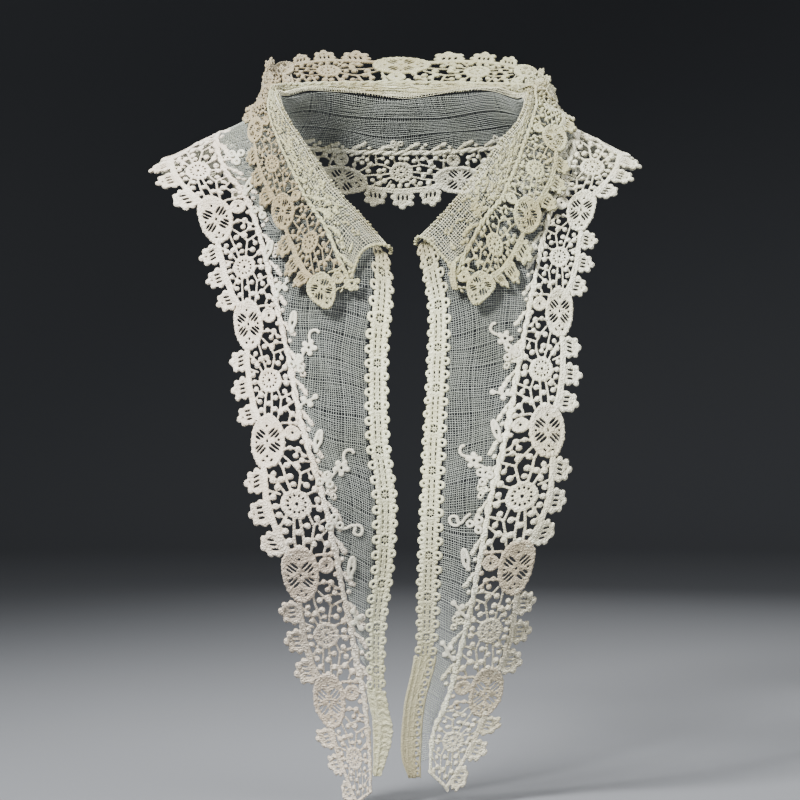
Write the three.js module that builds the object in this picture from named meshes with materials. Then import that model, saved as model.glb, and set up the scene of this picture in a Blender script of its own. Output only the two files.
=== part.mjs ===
// A detachable net collar with heavy needle-lace borders, as it hangs when worn.
// Millimetres, +Z up, -Y to the front, origin at the height where the neck meets the shoulders.
// Two long fronts, a yoke behind the neck, and a turned-down fall that rolls over at the neckline.

import * as THREE from 'three';
import { mergeVertices } from 'three/addons/utils/BufferGeometryUtils.js';

// Cloth and lace thicknesses
const NET_THICK = 1.0;
const LACE_THICK = 1.5;
const EDGING_THICK = 1.5;
const RELIEF = 0.8;
const SEAM_GAP = 0.4;

// One repeat of the lace border, measured flat
const REPEAT_LENGTH = 68;
const LOZENGE_REACH = 38;
const CORD_WIDTH = 4;
const WHEEL = { along: 34, across: 18.5, radius: 6.8, sides: 8 };
const OPEN_ACROSS = 25;
const BODY_END = 8.37;
const BORDER_JOIN = 2.5;
const FALL_END = 5 + 12.5 / REPEAT_LENGTH;

// Roll of cloth where the fall turns over the neckline
const ROLL_INNER = 1.1;
const ROLL_REACH = 2.8;
const ROLL_HEIGHT = 4.8;
const FALL_LIFT = 5;

// Edging sewn along the two fronts
const EDGING_STEPS = 48;
const EDGING_SCALLOP = 0.7;
const EDGING_SLANT = 10;
const EDGING_SLANT_SPAN = 6;
const RIM_RADIUS = 2.2;
const RIM_SIDES = 8;
const RIM_STEPS = 8;
const RIM_SHARE = 0.75;
const RIM_GAP = 0.8;
const RIM_INSIDE = 0.99;

// Net panels: repeats from one line of points to the next, and how many strips across
const NET_STEP = 0.25;
const NET_COLUMNS = 3;

// Level sections of the surface that the collar drapes over: half width, depth forwards, depth backwards.
const DRAPE_LEVELS = [
  { z: -420, halfWidth: 112, front: 82, back: 78 },
  { z: -360, halfWidth: 110, front: 84, back: 78 },
  { z: -320, halfWidth: 120, front: 89, back: 84 },
  { z: -280, halfWidth: 138, front: 95, back: 92 },
  { z: -240, halfWidth: 150, front: 98, back: 100 },
  { z: -200, halfWidth: 160, front: 96, back: 104 },
  { z: -160, halfWidth: 180, front: 89, back: 106 },
  { z: -120, halfWidth: 196, front: 80, back: 106 },
  { z: -83, halfWidth: 200, front: 71, back: 103 },
  { z: -60, halfWidth: 188, front: 66, back: 99 },
  { z: -42, halfWidth: 160, front: 62, back: 94 },
  { z: -30, halfWidth: 131, front: 60, back: 89 },
  { z: -23, halfWidth: 117, front: 58, back: 85 },
  { z: -16, halfWidth: 102, front: 57, back: 80 },
  { z: -10, halfWidth: 90, front: 56, back: 76 },
  { z: 0, halfWidth: 74, front: 54, back: 68 },
  { z: 10, halfWidth: 66, front: 53, back: 62 },
  { z: 30, halfWidth: 60, front: 51, back: 56 },
  { z: 60, halfWidth: 57, front: 50, back: 52 },
];
const DRAPE_POWER = 2.4;
const CHEST = { x: 72, z: -238, depth: 34, spreadX: 34, spreadZ: 50 };

// Neckline, from the left front corner to the right one. Front points give z, yoke points give y.
const NECKLINE = [
  { x: -6, z: -92 },
  { x: -24, z: -71 },
  { x: -36, z: -58 },
  { x: -47, z: -42 },
  { x: -58, z: -26 },
  { x: -65, z: -14 },
  { x: -70, y: -14 },
  { x: -66, y: 20 },
  { x: -54, y: 40 },
  { x: -32, y: 56 },
  { x: 0, y: 62 },
  { x: 32, y: 56 },
  { x: 54, y: 40 },
  { x: 67, y: 20 },
  { x: 71, y: -14 },
  { x: 66, z: -18 },
  { x: 56, z: -30 },
  { x: 46, z: -44 },
  { x: 35, z: -58 },
  { x: 25, z: -70 },
  { x: 8, z: -87 },
];

// Outer border of the body, a row for each lozenge and for some wheels. A row's repeat counts from the
// centre back, and its cord and edge lie on the drape surface: z where seen from the front, y above it.
const BODY_ROWS = [
  { repeat: -8.37, cordX: -16, cordZ: -386, edgeX: -27, edgeZ: -395 },
  { repeat: -8, cordX: -16, cordZ: -365, edgeX: -36, edgeZ: -370 },
  { repeat: -7.5, cordX: -19, cordZ: -331, edgeX: -49, edgeZ: -338 },
  { repeat: -6.5, cordX: -32, cordZ: -260, edgeX: -65, edgeZ: -266 },
  { repeat: -5.5, cordX: -50, cordZ: -190, edgeX: -82, edgeZ: -196 },
  { repeat: -4.5, cordX: -65, cordZ: -125, edgeX: -93, edgeZ: -132 },
  { repeat: -3.5, cordX: -82, cordZ: -62, edgeX: -113, edgeZ: -75 },
  { repeat: -3, cordX: -98, cordZ: -39, edgeX: -131, edgeZ: -47 },
  { repeat: -2.5, cordX: -102, cordY: -14, edgeX: -139, edgeY: -16 },
  { repeat: -1.5, cordX: -90, cordY: 48, edgeX: -116, edgeY: 70 },
  { repeat: -0.5, cordX: -33, cordY: 79, edgeX: -38, edgeY: 94 },
  { repeat: 0.5, cordX: 33, cordY: 79, edgeX: 38, edgeY: 94 },
  { repeat: 1.5, cordX: 88, cordY: 48, edgeX: 114, edgeY: 70 },
  { repeat: 2.5, cordX: 98, cordY: -14, edgeX: 133, edgeY: -16 },
  { repeat: 3, cordX: 92, cordZ: -37, edgeX: 124, edgeZ: -45 },
  { repeat: 3.5, cordX: 82, cordZ: -62, edgeX: 109, edgeZ: -67 },
  { repeat: 4.5, cordX: 69, cordZ: -119, edgeX: 96, edgeZ: -124 },
  { repeat: 5.5, cordX: 55, cordZ: -187, edgeX: 90, edgeZ: -189 },
  { repeat: 6.5, cordX: 40, cordZ: -260, edgeX: 72, edgeZ: -260 },
  { repeat: 7.5, cordX: 25, cordZ: -329, edgeX: 57, edgeZ: -332 },
  { repeat: 8, cordX: 16, cordZ: -354, edgeX: 42, edgeZ: -362 },
  { repeat: 8.37, cordX: 15, cordZ: -375, edgeX: 28, edgeZ: -388 },
];

// The fall: how far each row starts from the nearer end of the neckline, then its cord and its lozenge tip.
const FALL_ROWS = [
  { repeat: -5.19, along: 1, cord: [-28, -80, -107], tip: [-42, -90, -127] },
  { repeat: -5, along: 10, cord: [-28, -80, -104], tip: [-51, -87, -115] },
  { repeat: -4.5, along: 34, cord: [-41, -71, -74], tip: [-60, -77, -97] },
  { repeat: -4, along: 58, cord: [-53, -68, -56], tip: [-71, -70, -73] },
  { repeat: -3, along: 100, cord: [-71, -49, -16], tip: [-86, -51, -23] },
  { repeat: -2, along: 134, cord: [-74, -12, 8], tip: [-81, 16, 9] },
  { repeat: -1.5, along: 150, cord: [-71, 14, 12], tip: [-79, 40, 28] },
  { repeat: -1, along: 167, cord: [-67, 36, 15], tip: [-72, 66, 34] },
  { repeat: -0.5, along: 192, cord: [-41, 63, 19], tip: [-46, 92, 40] },
  { repeat: 0, along: 219, cord: [0, 76, 21], tip: [0, 106, 42] },
  { repeat: 0.5, along: 193, cord: [42, 63, 19], tip: [50, 91, 39] },
  { repeat: 1, along: 168, cord: [68, 36, 15], tip: [78, 64, 31] },
  { repeat: 1.5, along: 152, cord: [73, 12, 12], tip: [86, 38, 20] },
  { repeat: 2, along: 136, cord: [76, -10, 8], tip: [91, 14, 4] },
  { repeat: 3, along: 102, cord: [70, -51, -19], tip: [93, -51, -29] },
  { repeat: 4, along: 59, cord: [55, -68, -57], tip: [77, -70, -75] },
  { repeat: 4.5, along: 34, cord: [43, -71, -73], tip: [61, -77, -101] },
  { repeat: 5, along: 10, cord: [28, -80, -104], tip: [51, -85, -112] },
  { repeat: 5.19, along: 1, cord: [29, -80, -109], tip: [43, -88, -124] },
];
const FALL_ARCH = 3;

// The two centre-front edges: x of the edge and the width of the edging, at each height.
const FRONT_EDGES = {
  left: [
    { z: -92, x: -6, width: 10 },
    { z: -110, x: -3.5, width: 14 },
    { z: -144, x: -6, width: 14 },
    { z: -192, x: -5.5, width: 14 },
    { z: -225, x: -1.5, width: 14.5 },
    { z: -260, x: -3, width: 13.5 },
    { z: -291, x: -7, width: 12.5 },
    { z: -331, x: -8, width: 10.5 },
    { z: -350, x: -4.5, width: 11 },
    { z: -364, x: -6.5, width: 9 },
    { z: -377, x: -11, width: 4.5 },
  ],
  right: [
    { z: -87, x: 8, width: 12 },
    { z: -99, x: 10.5, width: 13.5 },
    { z: -120, x: 14, width: 13.5 },
    { z: -148, x: 13.5, width: 13.5 },
    { z: -192, x: 11, width: 14 },
    { z: -226, x: 9.5, width: 14 },
    { z: -268, x: 8, width: 14 },
    { z: -310, x: 7, width: 12.5 },
    { z: -338, x: 1.5, width: 11.5 },
    { z: -366, x: 0, width: 11 },
    { z: -378, x: 4, width: 7 },
  ],
};

// Net fronts, in repeats of the border: the corner where the neckline meets the edging, and the lower end
// where the net runs out. Heights are the edging's there, lengths run along the neckline from its end.
const NET_FRONTS = {
  left: { corner: -3.75, end: -7.25, top: -82, bottom: -318, alongCorner: 15.2, alongYoke: 118 },
  right: { corner: 3.75, end: 8.25, top: -78, bottom: -370, alongCorner: 16.5, alongYoke: 118 },
};
const YOKE_HALF = 2.5;

const MATERIALS = {
  net: new THREE.MeshStandardMaterial({ color: '#c9c8c0', roughness: 0.9, metalness: 0 }),
  lace: new THREE.MeshStandardMaterial({ color: '#d9d5c5', roughness: 0.85, metalness: 0 }),
  edging: new THREE.MeshStandardMaterial({ color: '#dddcc6', roughness: 0.85, metalness: 0 }),
};

// Smooth curve through table rows

// Index of the row before a place.
function rowBefore(keys, at) {
  const last = keys.length - 2;
  let index = 0;
  while (index < last && at > keys[index + 1]) index += 1;
  return index;
}

// Value at a place between rows, as a cubic whose slopes come from the neighbouring rows.
function smoothValue(keys, values, at) {
  const i = rowBefore(keys, at);
  const slope = (k) => {
    const low = Math.max(0, k - 1);
    const high = Math.min(keys.length - 1, k + 1);
    return (values[high] - values[low]) / (keys[high] - keys[low]);
  };
  const span = keys[i + 1] - keys[i];
  const t = (at - keys[i]) / span;
  const bend = t * t * (3 - 2 * t);
  const ease = t * (1 - t);
  return values[i] * (1 - bend) + values[i + 1] * bend
    + span * ease * ((1 - t) * slope(i) - t * slope(i + 1));
}

function smoothPoint(keys, points, at) {
  return new THREE.Vector3(
    smoothValue(keys, points.map((p) => p.x), at),
    smoothValue(keys, points.map((p) => p.y), at),
    smoothValue(keys, points.map((p) => p.z), at),
  );
}

// Drape surface

const LEVEL_HEIGHTS = DRAPE_LEVELS.map((level) => level.z);
const LEVEL_COLUMNS = {
  halfWidth: DRAPE_LEVELS.map((level) => level.halfWidth),
  front: DRAPE_LEVELS.map((level) => level.front),
  back: DRAPE_LEVELS.map((level) => level.back),
};

function levelSize(z, column) {
  return smoothValue(LEVEL_HEIGHTS, LEVEL_COLUMNS[column], THREE.MathUtils.clamp(z, -420, 60));
}

// Share of the way from the middle of the drape to its surface: 1 on the surface.
function drapeShare(x, y, z) {
  const across = (Math.abs(x) - CHEST.x) / CHEST.spreadX;
  const down = (z - CHEST.z) / CHEST.spreadZ;
  const chest = CHEST.depth * Math.exp(-(across * across + down * down) / 2);
  const depth = y < 0 ? levelSize(z, 'front') + chest : levelSize(z, 'back');
  const sum = (Math.abs(x) / levelSize(z, 'halfWidth')) ** DRAPE_POWER + (Math.abs(y) / depth) ** DRAPE_POWER;
  return sum ** (1 / DRAPE_POWER);
}

function drapeGradient(point) {
  const step = 0.05;
  return new THREE.Vector3(
    drapeShare(point.x + step, point.y, point.z) - drapeShare(point.x - step, point.y, point.z),
    drapeShare(point.x, point.y + step, point.z) - drapeShare(point.x, point.y - step, point.z),
    drapeShare(point.x, point.y, point.z + step) - drapeShare(point.x, point.y, point.z - step),
  ).divideScalar(2 * step);
}

// Moves a point straight onto the drape surface.
function settle(point) {
  const settled = point.clone();
  for (let turn = 0; turn < 8; turn += 1) {
    const gradient = drapeGradient(settled);
    const excess = drapeShare(settled.x, settled.y, settled.z) - 1;
    settled.addScaledVector(gradient, -excess / gradient.lengthSq());
  }
  return settled;
}

// Pushes a point out until it lies at least the given height above the drape surface.
function restAbove(point, lift) {
  const gradient = drapeGradient(point);
  const height = (drapeShare(point.x, point.y, point.z) - 1) / gradient.length();
  if (height >= lift) return point;
  return point.clone().addScaledVector(gradient.normalize(), lift - height);
}

function bisect(low, high, excess) {
  let [from, to] = [low, high];
  for (let turn = 0; turn < 40; turn += 1) {
    const middle = (from + to) / 2;
    if (excess(middle) > 0) to = middle;
    else from = middle;
  }
  return (from + to) / 2;
}

// Point of the drape surface at x and z on its front, or at x and y on its top.
function drapePoint(x, { y, z }) {
  if (z !== undefined) {
    return new THREE.Vector3(x, -bisect(0, 200, (depth) => drapeShare(x, -depth, z) - 1), z);
  }
  return new THREE.Vector3(x, y, bisect(-130, 60, (height) => drapeShare(x, y, height) - 1));
}

// Rails along the collar

const neckline = new THREE.CatmullRomCurve3(NECKLINE.map((row) => drapePoint(row.x, row)), false, 'centripetal');
neckline.arcLengthDivisions = 600;
const NECKLINE_LENGTH = neckline.getLength();

function necklinePoint(along) {
  return settle(neckline.getPointAt(THREE.MathUtils.clamp(along / NECKLINE_LENGTH, 0, 1)));
}

const BODY_KEYS = BODY_ROWS.map((row) => row.repeat);
const BODY_CORDS = BODY_ROWS.map((row) => drapePoint(row.cordX, { y: row.cordY, z: row.cordZ }));
const BODY_EDGES = BODY_ROWS.map((row) => drapePoint(row.edgeX, { y: row.edgeY, z: row.edgeZ }));

// Body border: 0 across is the cord's inner side, 1 across is a lozenge's tip.
function bodyPoint(repeat, across) {
  const cord = smoothPoint(BODY_KEYS, BODY_CORDS, repeat);
  const edge = smoothPoint(BODY_KEYS, BODY_EDGES, repeat);
  return settle(cord.lerp(edge, across));
}

const FALL_KEYS = FALL_ROWS.map((row) => row.repeat);
const FALL_ALONG = FALL_ROWS.map((row) => (row.repeat > 0 ? NECKLINE_LENGTH - row.along : row.along));
const FALL_CORDS = FALL_ROWS.map((row) => new THREE.Vector3(...row.cord));
const FALL_TIPS = FALL_ROWS.map((row) => new THREE.Vector3(...row.tip));

function fallPoint(repeat, across) {
  const cord = smoothPoint(FALL_KEYS, FALL_CORDS, repeat);
  const tip = smoothPoint(FALL_KEYS, FALL_TIPS, repeat);
  const flat = cord.lerp(tip, across);
  const arch = FALL_ARCH * 4 * Math.max(0, across * (1 - across));
  return restAbove(flat.addScaledVector(drapeGradient(flat).normalize(), arch), FALL_LIFT);
}

// Unit normal of a surface given by two numbers, pointing away from the drape.
function surfaceNormal(surface, along, across) {
  const step = 0.01;
  const run = surface(along + step, across).sub(surface(along - step, across));
  const rise = surface(along, across + step).sub(surface(along, across - step));
  return run.cross(rise).normalize();
}

// Solids

// Collects triangles over shared vertices, and turns them into one geometry.
class Shell {
  constructor() {
    this.positions = [];
    this.triangles = [];
  }

  vertex(point) {
    this.positions.push(point.x, point.y, point.z);
    return this.positions.length / 3 - 1;
  }

  triangle(a, b, c) {
    this.triangles.push(a, b, c);
  }

  quad(a, b, c, d) {
    this.triangles.push(a, b, c, a, c, d);
  }

  geometry() {
    const geometry = new THREE.BufferGeometry();
    geometry.setAttribute('position', new THREE.Float32BufferAttribute(this.positions, 3));
    geometry.setIndex(this.triangles);
    geometry.computeVertexNormals();
    return geometry;
  }
}

function gridNormal(grid, i, j) {
  const rowA = grid[Math.max(0, i - 1)];
  const rowB = grid[Math.min(grid.length - 1, i + 1)];
  const columnA = grid[i][Math.max(0, j - 1)];
  const columnB = grid[i][Math.min(grid[i].length - 1, j + 1)];
  return rowB[j].clone().sub(rowA[j]).cross(columnB.clone().sub(columnA)).normalize();
}

// A closed sheet of even thickness through a grid of points.
function sheetGeometry(grid, thickness) {
  const shell = new Shell();
  const layers = [0.5, -0.5].map((side) => grid.map((row, i) => row.map((point, j) => (
    shell.vertex(point.clone().addScaledVector(gridNormal(grid, i, j), side * thickness))))));
  const [top, bottom] = layers;
  const rows = grid.length - 1;
  const columns = grid[0].length - 1;
  for (let i = 0; i < rows; i += 1) {
    for (let j = 0; j < columns; j += 1) {
      shell.quad(top[i][j], top[i + 1][j], top[i + 1][j + 1], top[i][j + 1]);
      shell.quad(bottom[i][j], bottom[i][j + 1], bottom[i + 1][j + 1], bottom[i + 1][j]);
    }
    shell.quad(top[i][0], bottom[i][0], bottom[i + 1][0], top[i + 1][0]);
    shell.quad(top[i + 1][columns], bottom[i + 1][columns], bottom[i][columns], top[i][columns]);
  }
  for (let j = 0; j < columns; j += 1) {
    shell.quad(top[0][j + 1], bottom[0][j + 1], bottom[0][j], top[0][j]);
    shell.quad(top[rows][j], bottom[rows][j], bottom[rows][j + 1], top[rows][j + 1]);
  }
  return shell.geometry();
}

// Flat lace repeat

const CORD_STOPS = [0, 17, 34, 51, 68];
const LOZENGE_RIM = [
  { along: 0, across: 37.5 },
  { along: 7.5, across: 35 },
  { along: 12, across: 25.5 },
  { along: 10, across: 17 },
  { along: 0, across: 13 },
];
const LOZENGE_CORNER = 2;
const GAPS = [
  { along: 20.5, across: 9, halfLength: 9.5, halfWidth: 3.6 },
  { along: 20, across: 20.5, halfLength: 5.4, halfWidth: 4 },
  { along: 47.5, across: 9, halfLength: 9.5, halfWidth: 3.6 },
  { along: 48, across: 20.5, halfLength: 5.4, halfWidth: 4 },
];
const GAP_SIDES = 5;

// The three tabs that fan out beside each wheel, and the outline of one: aside from its middle, and out.
const CROWN = [
  { along: 19.5, across: 30.5, turn: -7 },
  { along: 34, across: 32.5, turn: 0 },
  { along: 48.5, across: 30.5, turn: 7 },
];
const CROWN_TAB = [
  { aside: -4.5, out: 0 },
  { aside: -6, out: 6.5 },
  { aside: 0, out: 13 },
  { aside: 6, out: 6.5 },
  { aside: 4.5, out: 0 },
];

function mirrored(points) {
  return points.map((p) => ({ along: REPEAT_LENGTH - p.along, across: p.across }));
}

// Outline of the three tabs, in order along the border.
function crownEdge() {
  return CROWN.flatMap((tab) => {
    const turn = THREE.MathUtils.degToRad(tab.turn);
    return CROWN_TAB.map((p) => ({
      along: tab.along + p.aside * Math.cos(turn) + p.out * Math.sin(turn),
      across: tab.across - p.aside * Math.sin(turn) + p.out * Math.cos(turn),
    }));
  });
}

function ring(centre, halfLength, halfWidth, sides) {
  return Array.from({ length: sides }, (_, k) => {
    const turn = (2 * Math.PI * (k + 0.5)) / sides;
    return { along: centre.along + halfLength * Math.cos(turn), across: centre.across + halfWidth * Math.sin(turn) };
  });
}

const CROWN_EDGE = crownEdge();
const WHEEL_RING = ring(WHEEL, WHEEL.radius, WHEEL.radius, WHEEL.sides);
const GAP_RINGS = GAPS.map((gap) => ring(gap, gap.halfLength, gap.halfWidth, GAP_SIDES));
const LOZENGE_FAR = mirrored(LOZENGE_RIM);

// Cells of one repeat between two places along it. Each cell is raised or plain, and has its own holes.
function repeatCells(first, last) {
  const within = (p) => p.along >= first && p.along <= last;
  const stops = [first, ...CORD_STOPS.filter((stop) => stop > first && stop < last), last];
  const bandEdge = stops.map((along) => ({ along, across: CORD_WIDTH }));
  const cells = [
    { raised: true, outline: [...stops.map((along) => ({ along, across: 0 })), ...[...bandEdge].reverse()] },
  ];
  const nearSide = first === 0 ? LOZENGE_RIM.slice(LOZENGE_CORNER) : [];
  const farSide = last === REPEAT_LENGTH ? LOZENGE_FAR.slice(LOZENGE_CORNER).reverse() : [];
  if (nearSide.length) cells.push({ raised: true, outline: [...LOZENGE_RIM].reverse() });
  if (farSide.length) cells.push({ raised: true, outline: LOZENGE_FAR });
  const single = last - first < WHEEL.along;
  const nearCut = nearSide.length || single ? [] : [{ along: first, across: OPEN_ACROSS }];
  const farCut = farSide.length || single ? [] : [{ along: last, across: OPEN_ACROSS }];
  const crown = single ? [] : [...CROWN_EDGE].reverse();
  const wheels = single ? [] : [WHEEL_RING];
  const gaps = single ? [] : GAP_RINGS.filter((gap) => gap.every(within));
  cells.push({ outline: [...bandEdge, ...farSide, ...farCut, ...crown, ...nearCut, ...nearSide], gaps, wheels });
  wheels.forEach((wheel) => cells.push({ raised: true, outline: wheel }));
  return cells;
}

// Lays repeats of the lace along a surface, as one pierced plate with raised cord, wheels and lozenges.
class LaceStrip {
  constructor(surface, from, to) {
    this.surface = surface;
    this.from = from + SEAM_GAP / 2 / REPEAT_LENGTH;
    this.to = to - SEAM_GAP / 2 / REPEAT_LENGTH;
    this.shell = new Shell();
    this.vertices = new Map();
    this.edges = new Map();
  }

  vertex(point, height) {
    const key = `${point.key} ${height}`;
    if (!this.vertices.has(key)) {
      const lifted = point.at.clone().addScaledVector(point.normal, height);
      this.vertices.set(key, this.shell.vertex(lifted));
    }
    return this.vertices.get(key);
  }

  // A flat point of one repeat, placed on the surface.
  place(start, flat) {
    const repeat = THREE.MathUtils.clamp(start + flat.along / REPEAT_LENGTH, this.from, this.to);
    const across = flat.across / LOZENGE_REACH;
    return {
      flat: new THREE.Vector2(flat.along, flat.across),
      key: `${repeat.toFixed(4)} ${across.toFixed(4)}`,
      at: this.surface(repeat, across),
      normal: surfaceNormal(this.surface, repeat, across),
    };
  }

  cell(start, { outline, gaps = [], wheels = [], raised = false }) {
    const loops = [outline, ...gaps, ...wheels].map((loop) => loop.map((flat) => this.place(start, flat)));
    const top = raised ? LACE_THICK / 2 + RELIEF : LACE_THICK / 2;
    const flats = loops.map((loop) => loop.map((point) => point.flat));
    const points = loops.flat();
    for (const face of THREE.ShapeUtils.triangulateShape(flats[0], flats.slice(1))) {
      const [a, b, c] = face.map((index) => points[index]);
      const leftTurn = b.flat.clone().sub(a.flat).cross(c.flat.clone().sub(a.flat)) > 0;
      const [p, q, r] = leftTurn ? [a, b, c] : [a, c, b];
      this.shell.triangle(this.vertex(p, top), this.vertex(q, top), this.vertex(r, top));
      this.shell.triangle(
        this.vertex(p, -LACE_THICK / 2),
        this.vertex(r, -LACE_THICK / 2),
        this.vertex(q, -LACE_THICK / 2),
      );
    }
    loops.forEach((loop, index) => {
      const rim = index === 0 ? loop : [...loop].reverse();
      rim.forEach((from, k) => {
        const to = rim[(k + 1) % rim.length];
        this.edges.set(`${from.key}/${to.key}`, { from, to, top });
      });
    });
  }

  // Walls where a cell ends, or stands above the cell beside it.
  closeWalls() {
    const levels = [-LACE_THICK / 2, LACE_THICK / 2, LACE_THICK / 2 + RELIEF];
    for (const { from, to, top } of this.edges.values()) {
      const beside = this.edges.get(`${to.key}/${from.key}`);
      const foot = beside ? beside.top : levels[0];
      levels.slice(1).forEach((high, k) => {
        const low = levels[k];
        if (high > top || low < foot) return;
        this.shell.quad(this.vertex(from, low), this.vertex(to, low), this.vertex(to, high), this.vertex(from, high));
      });
    }
  }
}

// Lace between two places, counted in repeats. Whole repeats run from one lozenge to the next.
function laceGeometry(surface, from, to, phase) {
  const strip = new LaceStrip(surface, from, to);
  for (let start = Math.floor(from - phase) + phase; start < to - 1e-6; start += 1) {
    const first = Math.max(0, (from - start) * REPEAT_LENGTH);
    const last = Math.min(REPEAT_LENGTH, (to - start) * REPEAT_LENGTH);
    repeatCells(first, last).forEach((cell) => strip.cell(start, cell));
  }
  strip.closeWalls();
  return strip.shell.geometry();
}

// Pieces

function bodyLace(from, to) {
  return laceGeometry(bodyPoint, from, to, 0.5);
}

function fallLace(from, to) {
  return laceGeometry(fallPoint, from, to, 0);
}

function frontEdgePoint(side, z, inward) {
  const rows = [...FRONT_EDGES[side]].reverse();
  const heights = rows.map((row) => row.z);
  const x = smoothValue(heights, rows.map((row) => row.x), z);
  const width = smoothValue(heights, rows.map((row) => row.width), z);
  const outward = side === 'left' ? -1 : 1;
  return drapePoint(x + outward * inward(width), { z });
}

function steps(from, to, count) {
  return Array.from({ length: count + 1 }, (_, k) => from + ((to - from) * k) / count);
}

function edgingGeometry(side) {
  const rows = FRONT_EDGES[side];
  const [top, bottom] = [rows[0].z - SEAM_GAP, rows[rows.length - 1].z];
  const grid = steps(0, 1, EDGING_STEPS).map((down, k) => {
    const slant = EDGING_SLANT * Math.max(0, 1 - down * EDGING_SLANT_SPAN);
    const scallop = k % 2 ? 0 : EDGING_SCALLOP;
    return [0, 0.5, 1].map((share) => {
      const z = THREE.MathUtils.lerp(top, bottom, down) + slant * share;
      return frontEdgePoint(side, z, (width) => share * width + scallop * (1 - share));
    });
  });
  return sheetGeometry(side === 'left' ? grid.reverse() : grid, EDGING_THICK);
}

function netFrontGeometry(side) {
  const { corner, end, top, bottom, alongCorner, alongYoke } = NET_FRONTS[side];
  const outward = side === 'left' ? -1 : 1;
  const yoke = outward * YOKE_HALF;
  const count = Math.round(Math.abs(end - yoke) / NET_STEP);
  const grid = steps(end, yoke, count).map((repeat) => {
    const cord = bodyPoint(repeat, -SEAM_GAP / LOZENGE_REACH);
    const onFront = Math.abs(repeat) > Math.abs(corner);
    const down = (repeat - corner) / (end - corner);
    const back = (repeat - corner) / (yoke - corner);
    const inner = onFront
      ? frontEdgePoint(side, THREE.MathUtils.lerp(top, bottom, down), (width) => width + SEAM_GAP)
      : necklinePoint(side === 'left'
        ? THREE.MathUtils.lerp(alongCorner, alongYoke, back)
        : NECKLINE_LENGTH - THREE.MathUtils.lerp(alongCorner, alongYoke, back));
    return steps(0, 1, NET_COLUMNS).map((share) => settle(inner.clone().lerp(cord, share)));
  });
  return sheetGeometry(side === 'left' ? grid : grid.reverse(), NET_THICK);
}

function netBackGeometry() {
  const reach = YOKE_HALF - SEAM_GAP / REPEAT_LENGTH;
  const grid = steps(-reach, reach, Math.round((2 * YOKE_HALF) / NET_STEP)).map((repeat) => {
    const cord = bodyPoint(repeat, -SEAM_GAP / LOZENGE_REACH);
    const share = (repeat + YOKE_HALF) / (2 * YOKE_HALF);
    const ends = [NET_FRONTS.left.alongYoke, NECKLINE_LENGTH - NET_FRONTS.right.alongYoke];
    const inner = necklinePoint(THREE.MathUtils.lerp(ends[0], ends[1], share));
    return steps(0, 1, NET_COLUMNS).map((across) => settle(inner.clone().lerp(cord, across)));
  });
  return sheetGeometry(grid, NET_THICK);
}

// One line across the fall: round the roll at the neckline, then out to the fall's cord.
function fallLine(repeat) {
  const along = smoothValue(FALL_KEYS, FALL_ALONG, repeat);
  const fold = necklinePoint(along);
  const up = drapeGradient(fold).normalize();
  const run = necklinePoint(along + 1).sub(necklinePoint(along - 1)).normalize();
  const out = up.clone().cross(run);
  const from = (reach, height) => fold.clone().addScaledVector(out, -reach).addScaledVector(up, height);
  const crest = from(ROLL_INNER, ROLL_HEIGHT);
  const cord = fallPoint(repeat, -SEAM_GAP / LOZENGE_REACH);
  const middle = restAbove(crest.clone().lerp(cord, 0.5), FALL_LIFT);
  return [from(ROLL_INNER, 0), from(ROLL_REACH, ROLL_HEIGHT / 2), crest, middle, cord];
}

function netFallGeometry() {
  const inner = Math.floor(FALL_END / NET_STEP) * NET_STEP;
  const repeats = [-FALL_END, ...steps(-inner, inner, Math.round((2 * inner) / NET_STEP)), FALL_END];
  return sheetGeometry(repeats.map(fallLine), NET_THICK);
}

// The rolled rim on a front end of the fall, from the crest of the roll to the lace.
function fallRimGeometry(repeat) {
  const line = (at) => {
    const [, , crest, middle, cord] = fallLine(at);
    return [crest, middle, middle.clone().lerp(cord, RIM_SHARE)];
  };
  const inner = line(repeat * RIM_INSIDE);
  const route = new THREE.CatmullRomCurve3(line(repeat).map((point, k, end) => {
    const tangent = end[Math.min(k + 1, 2)].clone().sub(end[Math.max(k - 1, 0)]);
    const beyond = point.clone().sub(inner[k]).projectOnPlane(tangent).setLength(RIM_RADIUS + RIM_GAP);
    return point.clone().add(beyond);
  }));
  const section = new THREE.Shape(ring({ along: 0, across: 0 }, RIM_RADIUS, RIM_RADIUS, RIM_SIDES)
    .map((p) => new THREE.Vector2(p.along, p.across)));
  const rim = new THREE.ExtrudeGeometry(section, { steps: RIM_STEPS, extrudePath: route, bevelEnabled: false });
  rim.deleteAttribute('uv');
  rim.deleteAttribute('normal');
  return mergeVertices(rim);
}

function piece(name, geometry, material) {
  const mesh = new THREE.Mesh(geometry, MATERIALS[material]);
  mesh.name = name;
  return mesh;
}

const collar = new THREE.Group();
collar.add(
  piece('net_front_left', netFrontGeometry('left'), 'net'),
  piece('net_front_right', netFrontGeometry('right'), 'net'),
  piece('net_back', netBackGeometry(), 'net'),
  piece('net_fall', netFallGeometry(), 'net'),
  piece('lace_front_left', bodyLace(-BODY_END, -BORDER_JOIN), 'lace'),
  piece('lace_back', bodyLace(-BORDER_JOIN, BORDER_JOIN), 'lace'),
  piece('lace_front_right', bodyLace(BORDER_JOIN, BODY_END), 'lace'),
  piece('lace_fall', fallLace(-FALL_END, FALL_END), 'lace'),
  piece('edging_left', edgingGeometry('left'), 'edging'),
  piece('edging_right', edgingGeometry('right'), 'edging'),
  piece('fall_rim_left', fallRimGeometry(-FALL_END), 'edging'),
  piece('fall_rim_right', fallRimGeometry(FALL_END), 'edging'),
);

export default collar;
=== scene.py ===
"""Looks of a detachable net collar with heavy needle-lace borders, dressed over its CAD frame.

Flat motifs and surfaces are worked out in millimetres, and every finished piece is in metres.
"""

from __future__ import annotations

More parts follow.
